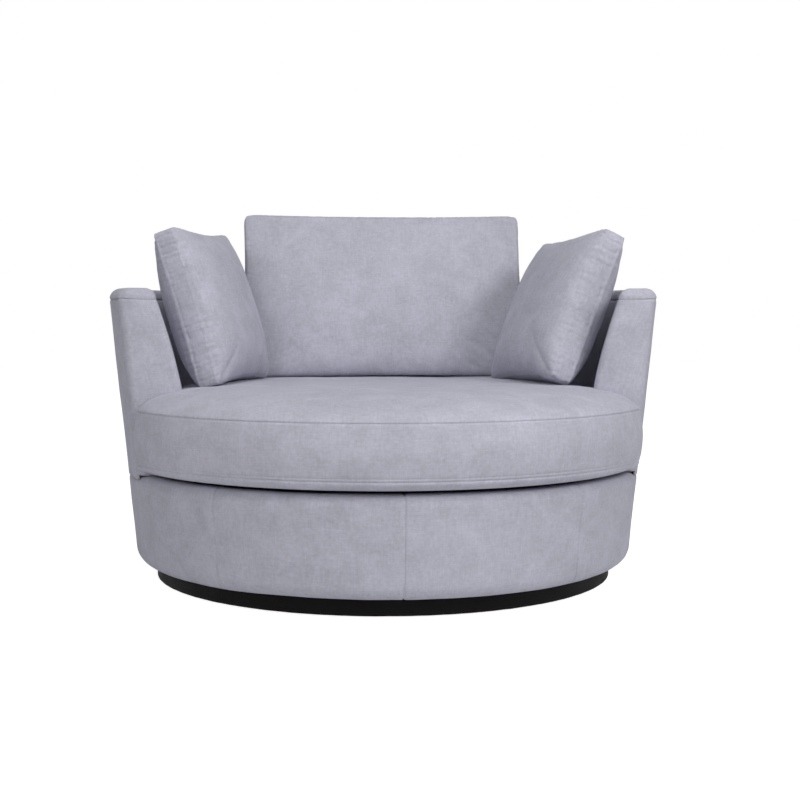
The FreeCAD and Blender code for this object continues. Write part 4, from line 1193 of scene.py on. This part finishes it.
# Studio
# A pale floor that runs into a white background, one large soft lamp from the front right with
# weaker ones overhead and on the left, and a level camera a little left of the chair's axis.
FLOOR_SIZE = 24.0
FLOOR_PALE = (0.80, 0.80, 0.80, 1)
FLOOR_LIFT = 0.88
SKY_LIGHT = 0.21
EYE = Vector((-0.2512, -3.4208, 0.65))
EYE_TURN = radians(-4.2)
FOCAL = 60.75
SHIFT = (0.02125, -0.11)


def seen_directly(tree):
    """1 for rays from the camera, a reflection or a clear surface, which show a surface as it is."""
    rays = put(tree, "LightPath").outputs
    seen = calculate(tree, "MAXIMUM", rays["Is Camera Ray"], rays["Is Glossy Ray"])
    return calculate(tree, "MAXIMUM", seen, rays["Is Transmission Ray"])


floor_mesh = bpy.data.meshes.new("floor")
half_floor = FLOOR_SIZE / 2
corners = [(x * half_floor, y * half_floor, 0) for x, y in ((-1, -1), (1, -1), (1, 1), (-1, 1))]
floor_mesh.from_pydata(corners, [], [(0, 1, 2, 3)])
floor = bpy.data.objects.new("floor", floor_mesh)
scene.collection.objects.link(floor)
floor_paint, tree, principled = new_material("studio_floor", Roughness=0.9, Specular_IOR_Level=0.1)
principled.inputs["Base Color"].default_value = FLOOR_PALE
principled.inputs["Emission Color"].default_value = (1, 1, 1, 1)
plug(tree, principled, {"Emission Strength": calculate(tree, "MULTIPLY", seen_directly(tree), FLOOR_LIFT)})
floor_mesh.materials.append(floor_paint)

world = bpy.data.worlds.new("studio")
scene.world = world
world.use_nodes = True
tree = world.node_tree
background = tree.nodes["Background"]
plug(tree, background, {"Color": (1, 1, 1, 1), "Strength": remap(tree, seen_directly(tree), SKY_LIGHT, 1.0)})


def softbox(name, place, aim, size, power):
    """A square soft lamp that points at aim."""
    lamp = bpy.data.lights.new(name, "AREA")
    lamp.size = size
    lamp.energy = power
    made = bpy.data.objects.new(name, lamp)
    made.location = place
    made.rotation_euler = (Vector(aim) - Vector(place)).to_track_quat("-Z", "Y").to_euler()
    scene.collection.objects.link(made)


softbox("key", (2.1, -2.6, 2.2), (0, 0, 0.45), 1.1, 44)
softbox("overhead", (0.2, -1.6, 3.2), (0, 0, 0.45), 1.6, 37)
softbox("left_fill", (-1.6, -3.0, 1.9), (0, 0, 0.4), 1.6, 26)

camera_data = bpy.data.cameras.new("photo_view")
camera_data.lens = FOCAL
camera_data.shift_x, camera_data.shift_y = SHIFT
camera = bpy.data.objects.new("photo_view", camera_data)
camera.location = EYE
camera.rotation_euler = (pi / 2, 0, EYE_TURN)
scene.collection.objects.link(camera)
scene.camera = camera
scene.view_settings.view_transform = "Standard"
